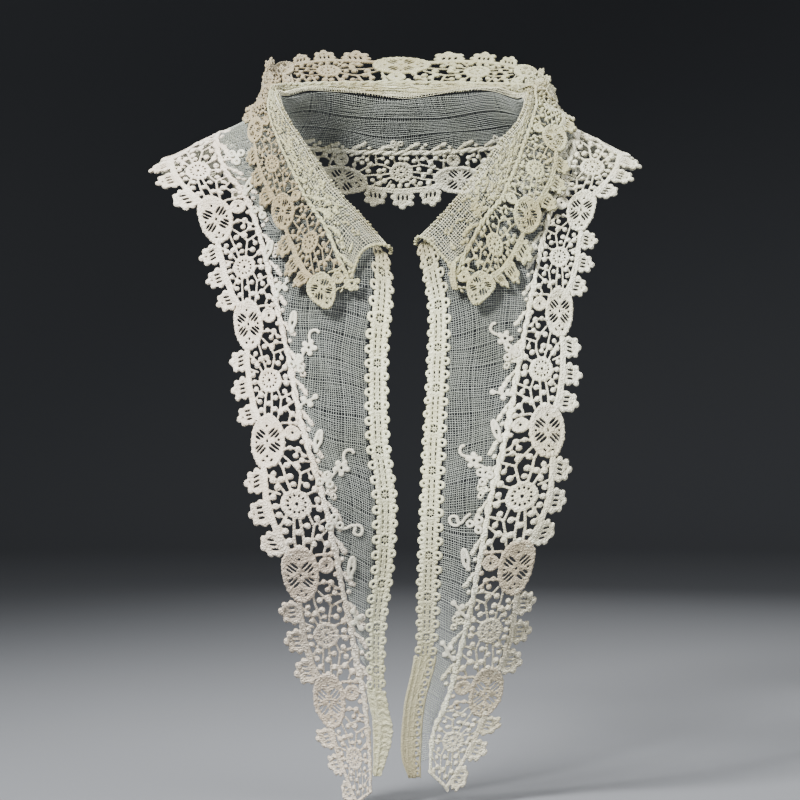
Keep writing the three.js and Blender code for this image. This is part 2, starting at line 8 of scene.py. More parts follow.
import logging
import math
from dataclasses import dataclass
from enum import Enum
from functools import partial
from typing import Any, Callable, Iterable, Sequence

import bmesh
import bpy
import numpy as np
from mathutils import Matrix, Vector

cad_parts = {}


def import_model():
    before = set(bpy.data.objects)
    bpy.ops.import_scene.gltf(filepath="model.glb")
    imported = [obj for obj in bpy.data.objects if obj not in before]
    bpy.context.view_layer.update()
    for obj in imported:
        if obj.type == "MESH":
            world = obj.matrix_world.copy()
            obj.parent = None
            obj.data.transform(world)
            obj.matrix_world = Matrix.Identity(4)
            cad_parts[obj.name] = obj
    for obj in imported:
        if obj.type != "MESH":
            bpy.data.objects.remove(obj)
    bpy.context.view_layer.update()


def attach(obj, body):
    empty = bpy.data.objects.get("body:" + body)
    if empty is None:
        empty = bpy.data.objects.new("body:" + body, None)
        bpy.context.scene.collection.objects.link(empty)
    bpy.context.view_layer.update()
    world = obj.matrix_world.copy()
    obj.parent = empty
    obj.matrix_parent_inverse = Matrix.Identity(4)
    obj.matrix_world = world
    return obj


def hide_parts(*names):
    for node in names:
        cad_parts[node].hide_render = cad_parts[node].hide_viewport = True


log = logging.getLogger("collar")

Array = np.ndarray
Spot = tuple[float, float]
Route = Sequence[Spot]
Rows = tuple[tuple[Any, ...], ...]
Surface = Callable[[Array, Array], Array]
BMesh = bmesh.types.BMesh
Mesh = bpy.types.Mesh
Piece = bpy.types.Object
Point = tuple[float, float, float]
Nodes = bpy.types.NodeTree
Socket = bpy.types.NodeSocket

MM = 0.001
# in millimetres: a repeat of the lace, a border from cord to lozenge tip in the drawings and in the CAD,
# and the gap that stands in for stitching
REPEAT = 68.0
BORDER = 33.0
LOZENGE_REACH = 38.0
SEAM = 0.4
# in repeats: where the body's border is cut off, where its fronts join its back, and where the fall ends
BODY_END = 8.37
BORDER_JOIN = 2.5
FALL_END = 5 + 12.5 / REPEAT
# share across a border where the net stops, just short of the cord
NET_END = -SEAM / LOZENGE_REACH


class Side(Enum):
    """The two fronts, by the sign of x."""

    LEFT = -1
    RIGHT = 1

    @property
    def word(self) -> str:
        """The side as it is written in the names of pieces."""
        return self.name.lower()


class Work(Enum):
    """How a thread surface was made, which sets its bump."""

    NEEDLE_LACE = "needle_lace"
    SATIN = "satin"
    NET = "net"


def linear(hex_code: str) -> tuple[float, float, float, float]:
    """Turn an sRGB hex value into a linear colour.

    Args:
        hex_code: Six hex digits after a hash.

    Returns:
        Red, green, blue and alpha, linear.
    """
    parts = [int(hex_code[i : i + 2], 16) / 255 for i in (1, 3, 5)]
    bent = [p / 12.92 if p <= 0.04045 else ((p + 0.055) / 1.055) ** 2.4 for p in parts]
    return (bent[0], bent[1], bent[2], 1.0)


def add_node(tree: Nodes, kind: str, feeds: dict[Any, Any], **settings: Any) -> bpy.types.Node:
    """Add a node with its settings, and link or set its inputs.

    Args:
        tree: The node tree.
        kind: The node's type name.
        feeds: Input names or numbers, each with a socket to link or a value to set.
        **settings: The node's own properties.

    Returns:
        The new node.
    """
    node = tree.nodes.new(kind)
    for name, value in settings.items():
        setattr(node, name, value)
    for key, value in feeds.items():
        if isinstance(value, bpy.types.NodeSocket):
            tree.links.new(value, node.inputs[key])
        else:
            node.inputs[key].default_value = value
    return node


@dataclass(frozen=True)
class CottonFinish:
    """Old cotton thread, never glossy: a warm white that has yellowed in patches."""

    name: str
    # raised thread; painted shade on deep thread and in hollows, whose colour also mottles the loose fibres;
    # aged patches; and motifs that have gone browner, whose colour also paints shade on the edging's turned
    # top
    base: str
    shade: str
    patch: str
    aged: str
    work: Work
    # a stitch, drawn about twice as coarse as real so that it shows, and its height
    stitch_mm: float = 1.15
    bump_mm: float = 0.55
    roughness: float = 0.88
    sheen: float = 0.25
    # size of the aged patches, and of the mottling of loose fibres in stitches
    patch_mm: float = 26.0
    fibres: float = 1.7

    def material(self) -> bpy.types.Material:
        """Build the node material, or find it where it is built already.

        Returns:
            The material.
        """
        found = bpy.data.materials.get(self.name)
        if found:
            return found
        made = bpy.data.materials.new(self.name)
        made.use_nodes = True
        tree = made.node_tree
        tree.nodes.clear()
        place = add_node(tree, "ShaderNodeTexCoord", {}).outputs["Object"]
        stitches = self._stitches(tree, place)
        bump = {"Height": stitches, "Distance": self.bump_mm * MM, "Strength": 0.9}
        thread = {
            "Base Color": self._colour(tree, place, stitches),
            "Roughness": self.roughness,
            "Sheen Weight": self.sheen,
            "Sheen Roughness": 0.5,
            "Specular IOR Level": 0.25,
            "Normal": add_node(tree, "ShaderNodeBump", bump).outputs["Normal"],
        }
        shader = add_node(tree, "ShaderNodeBsdfPrincipled", thread)
        add_node(tree, "ShaderNodeOutputMaterial", {"Surface": shader.outputs[0]})
        return made

    def _colour(self, tree: Nodes, place: Socket, stitches: Socket) -> Socket:
        """Lay aged patches, browner motifs, fibres, and painted shade in the stitches' hollows and on low
        thread over the base colour.

        Args:
            tree: The material's nodes.
            place: Where its patterns are read.
            stitches: Height of the stitches.

        Returns:
            The colour.
        """
        tint, relief = (
            add_node(tree, "ShaderNodeAttribute", {}, attribute_name=name).outputs["Fac"]
            for name in ("tint", "relief")
        )
        patches = self._mottling(tree, place, self.patch_mm, 2.0, (0.42, 0.66))
        fibres = self._mottling(tree, place, self.stitch_mm * self.fibres, 3.0, (0.36, 0.7))
        named = ("base", "shade", "patch", "aged")
        colours: dict[str, Any] = {name: linear(getattr(self, name)) for name in named}
        # what each layer is called, its share, and the colours that it goes from and to
        layers = (
            ("patched", patches, "base", "patch"),
            # browner motifs, and on the edging's turned top painted shade, both from the tint
            ("browned_and_shaded", tint, "patched", "aged"),
            ("mottled", fibres, "browned_and_shaded", "shade"),
            ("softened", 0.3, "browned_and_shaded", "mottled"),
            # painted shade: darker in the stitches' hollows, then darker on thread that lies low in its motif
            ("stitch_shade", stitches, "shade", "softened"),
            ("worked", 0.4, "softened", "stitch_shade"),
            ("cotton", relief, "shade", "worked"),
        )
        for name, share, low, high in layers:
            feeds = {0: share, 6: colours[low], 7: colours[high]}
            colours[name] = add_node(tree, "ShaderNodeMix", feeds, data_type="RGBA").outputs[2]
        return colours["cotton"]

    def _stitches(self, tree: Nodes, place: Socket) -> Socket:
        """Work the stitches: knots for needle lace, close ribs for satin stitch, twist for net thread.

        Args:
            tree: The material's nodes.
            place: Where they are read, on all but satin stitch, which follows the drawing.

        Returns:
            Their height.
        """
        if self.work is Work.NEEDLE_LACE:
            spread = {"Vector": place, "Scale": 1 / (self.stitch_mm * MM)}
            cells = add_node(tree, "ShaderNodeTexVoronoi", spread)
            knots = {"Value": cells.outputs["Distance"], "From Min": 0.65, "From Max": 0.1}
            return add_node(tree, "ShaderNodeMapRange", knots).outputs["Result"]
        if self.work is Work.SATIN:
            flat = add_node(tree, "ShaderNodeAttribute", {}, attribute_name="flat").outputs["Vector"]
            ribs = {"Vector": flat, "Scale": 1.0 / self.stitch_mm, "Distortion": 1.2, "Detail": 1.0}
            return add_node(tree, "ShaderNodeTexWave", ribs).outputs["Fac"]
        return self._mottling(tree, place, self.stitch_mm, 2.0, (0.3, 0.7))

    def _mottling(self, tree: Nodes, place: Socket, size_mm: float, detail: float, levels: Spot) -> Socket:
        """Mottle the thread at a real size.

        Args:
            tree: The material's nodes.
            place: Where the mottling is read.
            size_mm: Its size.
            detail: How much finer detail it has.
            levels: The two levels of noise that become 0 and 1.

        Returns:
            The mottling, from 0 to 1.
        """
        feeds = {"Vector": place, "Scale": 1 / (size_mm * MM), "Detail": detail}
        noise = add_node(tree, "ShaderNodeTexNoise", feeds).outputs["Fac"]
        ranged = {"Value": noise, "From Min": levels[0], "From Max": levels[1]}
        return add_node(tree, "ShaderNodeMapRange", ranged).outputs["Result"]


# Needle lace of the left border: cream, with pinkish brown lower motifs.
LEFT_LACE = CottonFinish("lace_left", "#E2DCCF", "#7D725F", "#D4CAB9", "#B9AA9A", Work.NEEDLE_LACE)
# The right border has stayed greener.
RIGHT_LACE = CottonFinish("lace_right", "#E5E5D4", "#77725A", "#D6D3BC", "#A89683", Work.NEEDLE_LACE)
# The fall is the yellowest, and its painted shade on deep thread is browner.
FALL_LACE = CottonFinish("lace_fall_cotton", "#B9BA9A", "#62593F", "#AAA684", "#94806A", Work.NEEDLE_LACE)
# Machine edging: greenish ivory, close and flat.
EDGING_COTTON = CottonFinish(
    "edging_cotton", "#DEDFC5", "#7B7860", "#D2D1B3", "#8B8067", Work.NEEDLE_LACE, stitch_mm=0.9, bump_mm=0.35
)
# Cord and embroidery in untwisted cotton, whiter and smoother than the lace.
SATIN_COTTON = CottonFinish(
    "satin_cotton", "#E2E1D3", "#96917C", "#D6D3C0", "#C2BAA6", Work.SATIN, 0.9, 0.2, 0.8, sheen=0.35
)
# Fine net thread, greyer because light goes through it.
NET_COTTON = CottonFinish("net_cotton", "#9EA29C", "#6C6F67", "#93978D", "#939284", Work.NET, 0.4, 0.05)
# The net of the fall has yellowed with its lace.
FALL_NET = CottonFinish("fall_net_cotton", "#CECDB5", "#928B6F", "#C3BFA5", "#AEA382", Work.NET, 0.4, 0.05)


def ease(share: Any) -> Any:
    """Smooth a share of the way between 0 and 1."""
    return share * share * (3 - 2 * share)


def unit(vectors: Array) -> Array:
    """Scale vectors to length 1."""
    return vectors / np.maximum(np.linalg.norm(vectors, axis=-1, keepdims=True), 1e-9)


def steps_of(points: Array, axis: int = 0) -> Array:
    """Lengths of the steps between neighbouring points."""
    return np.linalg.norm(np.diff(points, axis=axis), axis=-1)


def run_of(steps: Array) -> Array:
    """Length run from the first point to each point, from the steps between them."""
    return np.concatenate([np.zeros_like(steps[..., :1]), np.cumsum(steps, axis=-1)], axis=-1)


def swung(origin: Spot, turn: float, along: float, across: float = 0.0) -> Spot:
    """A place along and across on a flat drawing that is turned about its origin."""
    cos, sin = math.cos(turn), math.sin(turn)
    return (origin[0] + along * cos - across * sin, origin[1] + along * sin + across * cos)


def full_turn(count: int, start: float = 0.0) -> list[float]:
    """Even angles round a circle, the first a share of a step past zero."""
    return [2 * math.pi * (k + start) / count for k in range(count)]


@dataclass(frozen=True)
class SmoothTable:
    """Rows of values joined by a cubic whose slopes come from the neighbouring rows."""

    keys: Array
    values: Array

    def at(self, where: Array) -> Array:
        """Read the table.

        Args:
            where: Places between the keys.

        Returns:
            One row of values for each place.
        """
        count = len(self.keys)
        low = np.clip(np.arange(count) - 1, 0, count - 1)
        high = np.clip(np.arange(count) + 1, 0, count - 1)
        slopes = (self.values[high] - self.values[low]) / (self.keys[high] - self.keys[low])[:, None]
        row = np.clip(np.searchsorted(self.keys, where, side="left") - 1, 0, count - 2)
        span = self.keys[row + 1] - self.keys[row]
        t = ((where - self.keys[row]) / span)[:, None]
        straight = self.values[row] * (1 - ease(t)) + self.values[row + 1] * ease(t)
        return straight + t * (1 - t) * span[:, None] * ((1 - t) * slopes[row] - t * slopes[row + 1])


def table(rows: Sequence[Sequence[float]]) -> SmoothTable:
    """Make a table whose first column is its key."""
    columns = np.array(rows, dtype=float)
    return SmoothTable(columns[:, 0], columns[:, 1:])


@dataclass
class Drape:
    """The shape that the collar lies on, as level ovals with a bust in front. Nothing of it is shown."""

    # height, half width, depth forwards, depth backwards
    levels: SmoothTable = table([
        (-420, 112, 82, 78), (-360, 110, 84, 78), (-320, 120, 89, 84), (-280, 138, 95, 92),
        (-240, 150, 98, 100), (-200, 160, 96, 104), (-160, 180, 89, 106), (-120, 196, 80, 106),
        (-83, 200, 71, 103), (-60, 188, 66, 99), (-42, 160, 62, 94), (-30, 131, 60, 89),
        (-23, 117, 58, 85), (-16, 102, 57, 80), (-10, 90, 56, 76), (0, 74, 54, 68),
        (10, 66, 53, 62), (30, 60, 51, 56), (60, 57, 50, 52),
    ])
    power: float = 2.4
    bust_x: float = 72
    bust_z: float = -238
    bust_depth: float = 34
    bust_spread_x: float = 34
    bust_spread_z: float = 50
    # how far the surface is searched for, forwards seen from the front and in height seen from above
    forward_search: Spot = (0.0, 200.0)
    height_search: Spot = (-130.0, 60.0)
    halvings: int = 40
    settling: int = 8
    probe: float = 0.05

    def share(self, points: Array) -> Array:
        """Measure how far out points lie.

        Args:
            points: The points.

        Returns:
            The share of the way from the middle to the surface, 1 on it.
        """
        x, y, z = np.abs(points[:, 0]), points[:, 1], points[:, 2]
        sizes = self.levels.at(np.clip(z, self.levels.keys[0], self.levels.keys[-1]))
        aside = (x - self.bust_x) / self.bust_spread_x
        down = (z - self.bust_z) / self.bust_spread_z
        bust = self.bust_depth * np.exp(-(aside * aside + down * down) / 2)
        depth = np.where(y < 0, sizes[:, 1] + bust, sizes[:, 2])
        total = (x / sizes[:, 0]) ** self.power + (np.abs(y) / depth) ** self.power
        return total ** (1 / self.power)

    def gradient(self, points: Array) -> Array:
        """Slope of the share at each point, which points away from the drape."""
        sides = [self.share(points + move) - self.share(points - move) for move in np.eye(3) * self.probe]
        return np.stack(sides, axis=1) / (2 * self.probe)

    def settle(self, points: Array) -> Array:
        """Move points straight onto the surface.

        Args:
            points: The points.

        Returns:
            The points on the surface.
        """
        settled = points.copy()
        for _ in range(self.settling):
            slope = self.gradient(settled)
            excess = self.share(settled) - 1
            settled -= slope * (excess / np.sum(slope * slope, axis=1))[:, None]
        return settled

    def rest_above(self, points: Array, lift: float) -> Array:
        """Push points out until they lie at least a height above the surface.

        Args:
            points: The points.
            lift: The height.

        Returns:
            The points above the surface.
        """
        slope = self.gradient(points)
        steep = np.linalg.norm(slope, axis=1)
        height = (self.share(points) - 1) / steep
        return points + slope / steep[:, None] * np.maximum(0, lift - height)[:, None]

    def find(self, x: Array, other: Array, from_front: Array) -> Array:
        """Find points of the surface at x and z on its front, or at x and y on its top.

        Args:
            x: The x of each point.
            other: Its z where it is seen from the front, and otherwise its y.
            from_front: Whether each is seen from the front.

        Returns:
            The points.
        """
        low, high = (np.where(from_front, *ends) for ends in zip(self.forward_search, self.height_search))
        for _ in range(self.halvings):
            middle = (low + high) / 2
            outside = self.share(self._candidate(x, other, from_front, middle)) > 1
            high = np.where(outside, middle, high)
            low = np.where(outside, low, middle)
        return self._candidate(x, other, from_front, (low + high) / 2)

    def _candidate(self, x: Array, other: Array, from_front: Array, reach: Array) -> Array:
        """Points at a depth or height, by which of the two is sought."""
        return np.stack([x, np.where(from_front, -reach, other), np.where(from_front, other, reach)], axis=1)

    def on_front(self, x: Array, z: Array) -> Array:
        """Points of the front at x and z."""
        return self.find(x, z, np.ones(len(x), dtype=bool))

    def over_front(self, x: Array, z: Array, height: Array) -> Array:
        """Points at heights straight out from the front at x and z."""
        ground = self.on_front(x, z)
        return ground + unit(self.gradient(ground)) * height[:, None]


DRAPE = Drape()


@dataclass
class Neckline:
    """The line where the fall turns over, as one smooth curve from front to front."""

    # x, then z where seen from the front (True) or y above it (False)
    stations: Rows = (
        (-6, -92, True), (-24, -71, True), (-36, -58, True), (-47, -42, True), (-58, -26, True),
        (-65, -14, True), (-70, -14, False), (-66, 20, False), (-54, 40, False), (-32, 56, False),
        (0, 62, False), (32, 56, False), (54, 40, False), (67, 20, False), (71, -14, False),
        (66, -18, True), (56, -30, True), (46, -44, True), (35, -58, True), (25, -70, True), (8, -87, True),
    )
    samples: int = 600

    def __post_init__(self) -> None:
        """Sample the curve and measure along it."""
        x, other, from_front = (np.array(column) for column in zip(*self.stations))
        self._route = self._centripetal(DRAPE.find(x, other, from_front))
        self._run = run_of(steps_of(self._route))
        self.length = float(self._run[-1])

    def _centripetal(self, points: Array) -> Array:
        """Draw a centripetal curve through points, sampled evenly between them.

        Args:
            points: The points.

        Returns:
            Points of the curve.
        """
        padded = np.array([2 * points[0] - points[1], *points, 2 * points[-1] - points[-2]])
        knots = np.sqrt(steps_of(padded))
        at = np.linspace(0, len(points) - 1, self.samples + 1)
        row = np.minimum(at.astype(int), len(points) - 2)
        t = (at - row)[:, None]
        p0, p1, p2, p3 = (padded[row + k] for k in range(4))
        d0, d1, d2 = (knots[row + k][:, None] for k in range(3))
        start = ((p1 - p0) / d0 - (p2 - p0) / (d0 + d1) + (p2 - p1) / d1) * d1
        end = ((p2 - p1) / d1 - (p3 - p1) / (d1 + d2) + (p3 - p2) / d2) * d1
        square = (-3 * p1 + 3 * p2 - 2 * start - end) * (t * t)
        return p1 + start * t + square + (2 * p1 - 2 * p2 + start + end) * (t * t * t)

    def at(self, along: Array) -> Array:
        """Points at lengths along the neckline, on the drape."""
        columns = [np.interp(along, self._run, column) for column in self._route.T]
        return DRAPE.settle(np.stack(columns, axis=1))


NECKLINE = Neckline()


@dataclass
class BodyBorder:
    """Where the wide border of the body lies: its cord and its lozenge tips."""

    # repeat, cord x, cord z or y, edge x, edge z or y, seen from the front
    rows: Rows = (
        (-8.37, -16, -386, -27, -395, True), (-8, -16, -365, -36, -370, True),
        (-7.5, -19, -331, -49, -338, True), (-6.5, -32, -260, -65, -266, True),
        (-5.5, -50, -190, -82, -196, True), (-4.5, -65, -125, -93, -132, True),
        (-3.5, -82, -62, -113, -75, True), (-3, -98, -39, -131, -47, True),
        (-2.5, -102, -14, -139, -16, False), (-1.5, -90, 48, -116, 70, False),
        (-0.5, -33, 79, -38, 94, False), (0.5, 33, 79, 38, 94, False),
        (1.5, 88, 48, 114, 70, False), (2.5, 98, -14, 133, -16, False),
        (3, 92, -37, 124, -45, True), (3.5, 82, -62, 109, -67, True),
        (4.5, 69, -119, 96, -124, True), (5.5, 55, -187, 90, -189, True),
        (6.5, 40, -260, 72, -260, True), (7.5, 25, -329, 57, -332, True),
        (8, 16, -354, 42, -362, True), (8.37, 15, -375, 28, -388, True),
    )

    def __post_init__(self) -> None:
        """Find the rails on the drape."""
        keys, *cord, edge_x, edge_other, from_front = (np.array(column) for column in zip(*self.rows))
        self._cord = SmoothTable(keys, DRAPE.find(*cord, from_front))
        self._edge = SmoothTable(keys, DRAPE.find(edge_x, edge_other, from_front))

    def at(self, repeat: Array, across: Array) -> Array:
        """Points of the border, where 0 across is the cord and 1 a lozenge's tip."""
        cord = self._cord.at(repeat)
        return DRAPE.settle(cord + (self._edge.at(repeat) - cord) * across[:, None])


BODY = BodyBorder()


@dataclass
class FallShape:
    """Where the turned-down fall lies: its roll at the neckline, its cord and its lozenge tips."""

    # repeat, length from the nearer end of the neckline, cord, tip
    rows: Rows = (
        (-5.19, 1, -28, -80, -107, -42, -90, -127), (-5, 10, -28, -80, -104, -51, -87, -115),
        (-4.5, 34, -41, -71, -74, -60, -77, -97), (-4, 58, -53, -68, -56, -71, -70, -73),
        (-3, 100, -71, -49, -16, -86, -51, -23), (-2, 134, -74, -12, 8, -81, 16, 9),
        (-1.5, 150, -71, 14, 12, -79, 40, 28), (-1, 167, -67, 36, 15, -72, 66, 34),
        (-0.5, 192, -41, 63, 19, -46, 92, 40), (0, 219, 0, 76, 21, 0, 106, 42),
        (0.5, 193, 42, 63, 19, 50, 91, 39), (1, 168, 68, 36, 15, 78, 64, 31),
        (1.5, 152, 73, 12, 12, 86, 38, 20), (2, 136, 76, -10, 8, 91, 14, 4),
        (3, 102, 70, -51, -19, 93, -51, -29), (4, 59, 55, -68, -57, 77, -70, -75),
        (4.5, 34, 43, -71, -73, 61, -77, -101), (5, 10, 28, -80, -104, 51, -85, -112),
        (5.19, 1, 29, -80, -109, 43, -88, -124),
    )
    arch: float = 3.0
    lift: float = 5.0
    roll_inner: float = 1.1
    roll_reach: float = 2.8
    roll_height: float = 4.8

    def __post_init__(self) -> None:
        """Turn the rows into smooth tables."""
        values = np.array(self.rows)
        along = np.where(values[:, 0] > 0, NECKLINE.length - values[:, 1], values[:, 1])
        self._along = SmoothTable(values[:, 0], along[:, None])
        self._cord = SmoothTable(values[:, 0], values[:, 2:5])
        self._tip = SmoothTable(values[:, 0], values[:, 5:8])

    def at(self, repeat: Array, across: Array) -> Array:
        """Find points of the fall's border, which arches between its cord and its tips.

        Args:
            repeat: Place along it.
            across: Place across, 0 at the cord and 1 at a lozenge's tip.

        Returns:
            The points.
        """
        cord = self._cord.at(repeat)
        flat = cord + (self._tip.at(repeat) - cord) * across[:, None]
        rise = self.arch * 4 * np.maximum(0, across * (1 - across))
        return DRAPE.rest_above(flat + unit(DRAPE.gradient(flat)) * rise[:, None], self.lift)

    def lines(self, repeat: Array) -> Array:
        """Draw lines across the net of the fall: round the roll at the neckline, then out to the cord.

        Args:
            repeat: Where each line is.

        Returns:
            Five points for each line.
        """
        along = self._along.at(repeat)[:, 0]
        fold = NECKLINE.at(along)
        up = unit(DRAPE.gradient(fold))
        out = np.cross(up, unit(NECKLINE.at(along + 1) - NECKLINE.at(along - 1)))
        # reach inwards and height of the roll's foot, side and crest
        inner, top = self.roll_inner, self.roll_height
        section = ((inner, 0), (self.roll_reach, top / 2), (inner, top))
        foot, side, crest = (fold - out * reach + up * height for reach, height in section)
        cord = self.at(repeat, np.full(len(repeat), NET_END))
        middle = DRAPE.rest_above((crest + cord) / 2, self.lift)
        return np.stack([foot, side, crest, middle, cord], axis=1)


FALL = FallShape()


@dataclass
class FrontEdge:
    """A centre-front edge, with the width of its edging at each height."""

    side: Side
    rows: SmoothTable

    def at(self, z: Array, inward: Array) -> Array:
        """Points at a height and a distance in from the edge."""
        return DRAPE.on_front(self.rows.at(z)[:, 0] + self.side.value * inward, z)

    def width(self, z: Array) -> Array:
        """Width of the edging at a height."""
        return self.rows.at(z)[:, 1]


# z, x of the edge, width of the edging
LEFT_EDGE = (
    (-377, -11, 4.5), (-364, -6.5, 9), (-350, -4.5, 11), (-331, -8, 10.5), (-291, -7, 12.5), (-260, -3, 13.5),
    (-225, -1.5, 14.5), (-192, -5.5, 14), (-144, -6, 14), (-110, -3.5, 14), (-92, -6, 10),
)
RIGHT_EDGE = (
    (-378, 4, 7), (-366, 0, 11), (-338, 1.5, 11.5), (-310, 7, 12.5), (-268, 8, 14), (-226, 9.5, 14),
    (-192, 11, 14), (-148, 13.5, 13.5), (-120, 14, 13.5), (-99, 10.5, 13.5), (-87, 8, 12),
)
FRONT_EDGES = {side: FrontEdge(side, table(rows)) for side, rows in zip(Side, (LEFT_EDGE, RIGHT_EDGE))}


class Sheet:
    """A curved surface sampled on a grid, on which flat work is laid."""

    def __init__(self, points: Array, us: Array, vs: Array) -> None:
        """Keep a grid of points, with the even steps along it and across it."""
        self._us, self._vs, self._points = us, vs, points
        self._normals = unit(np.cross(np.gradient(points, axis=0), np.gradient(points, axis=1)))

    @classmethod
    def sampled(cls, surface: Surface, us: Array, vs: Array) -> Sheet:
        """Sample a surface, which gives points for two equal lists of numbers."""
        points = surface(*(grid.ravel() for grid in np.meshgrid(us, vs, indexing="ij")))
        return cls(points.reshape(len(us), len(vs), 3), us, vs)

    def place(self, u: Array, v: Array, height: Array) -> Array:
        """Lay points on the surface.

        Args:
            u: Place along.
            v: Place across.
            height: Height above the surface.

        Returns:
            The points in space.
        """
        row = (u - self._us[0]) / (self._us[1] - self._us[0])
        column = (v - self._vs[0]) / (self._vs[1] - self._vs[0])
        i = np.clip(row.astype(int), 0, len(self._us) - 2)
        j = np.clip(column.astype(int), 0, len(self._vs) - 2)
        a, b = (row - i)[:, None], (column - j)[:, None]
        blended = []
        for grid in (self._points, self._normals):
            near = grid[i, j] * (1 - b) + grid[i, j + 1] * b
            far = grid[i + 1, j] * (1 - b) + grid[i + 1, j + 1] * b
            blended.append(near * (1 - a) + far * a)
        return blended[0] + unit(blended[1]) * height[:, None]


def border_sheet(surface: Surface, last: float, steps: int = 40, across: int = 35) -> Sheet:
    """Sample a border to its last repeat on each side, from the leaves inside its cord to past its crowns."""
    us = np.linspace(-last, last, int(round(2 * last * steps)) + 1)
    return Sheet.sampled(surface, us, np.linspace(-0.3, 1.4, across))


def smooth_loop(corners: Route, samples: int = 4) -> list[Spot]:
    """Round a closed outline through its corners.

    Args:
        corners: Points of the outline in order.
        samples: Points from one corner to the next.

    Returns:
        The rounded outline.
    """
    wrapped = np.array([corners[-1], *corners, *corners[:2]])
    curve = SmoothTable(np.arange(len(wrapped)) - 1.0, wrapped)
    return [tuple(place) for place in curve.at(np.arange(len(corners) * samples) / samples)]


def slot_hole(centre: Spot, turn: float, length: float, width: float) -> list[Spot]:
    """Outline of a long hole with round ends."""
    reaches = [(math.cos(angle) * length / 2, math.sin(angle) * width / 2) for angle in full_turn(10, 0.5)]
    return [swung(centre, turn, *reach) for reach in reaches]


def placed(name: str, data: bpy.types.ID) -> Piece:
    """Make an object of some data and put it in the scene."""
    made = bpy.data.objects.new(name, data)
    bpy.context.scene.collection.objects.link(made)
    return made


def mesh_of(bm: BMesh, name: str) -> Mesh:
    """Turn a bmesh into a mesh and free it.

    Args:
        bm: The bmesh.
        name: Name of the mesh.

    Returns:
        The mesh.
    """
    mesh = bpy.data.meshes.new(name)
    bm.to_mesh(mesh)
    bm.free()
    return mesh


def places_of(mesh: Mesh) -> Array:
    """Places of a mesh's vertices, one a row."""
    places = np.empty(len(mesh.vertices) * 3)
    mesh.vertices.foreach_get("co", places)
    return places.reshape(-1, 3)


def evaluated(body: Piece) -> Mesh:
    """Make a mesh of an object with its modifiers applied."""
    graph = bpy.context.evaluated_depsgraph_get()
    graph.update()
    return bpy.data.meshes.new_from_object(body.evaluated_get(graph))


@dataclass
class Motif:
    """A finished flat motif: its mesh in millimetres, and its flat places."""

    mesh: Mesh
    flat: Array


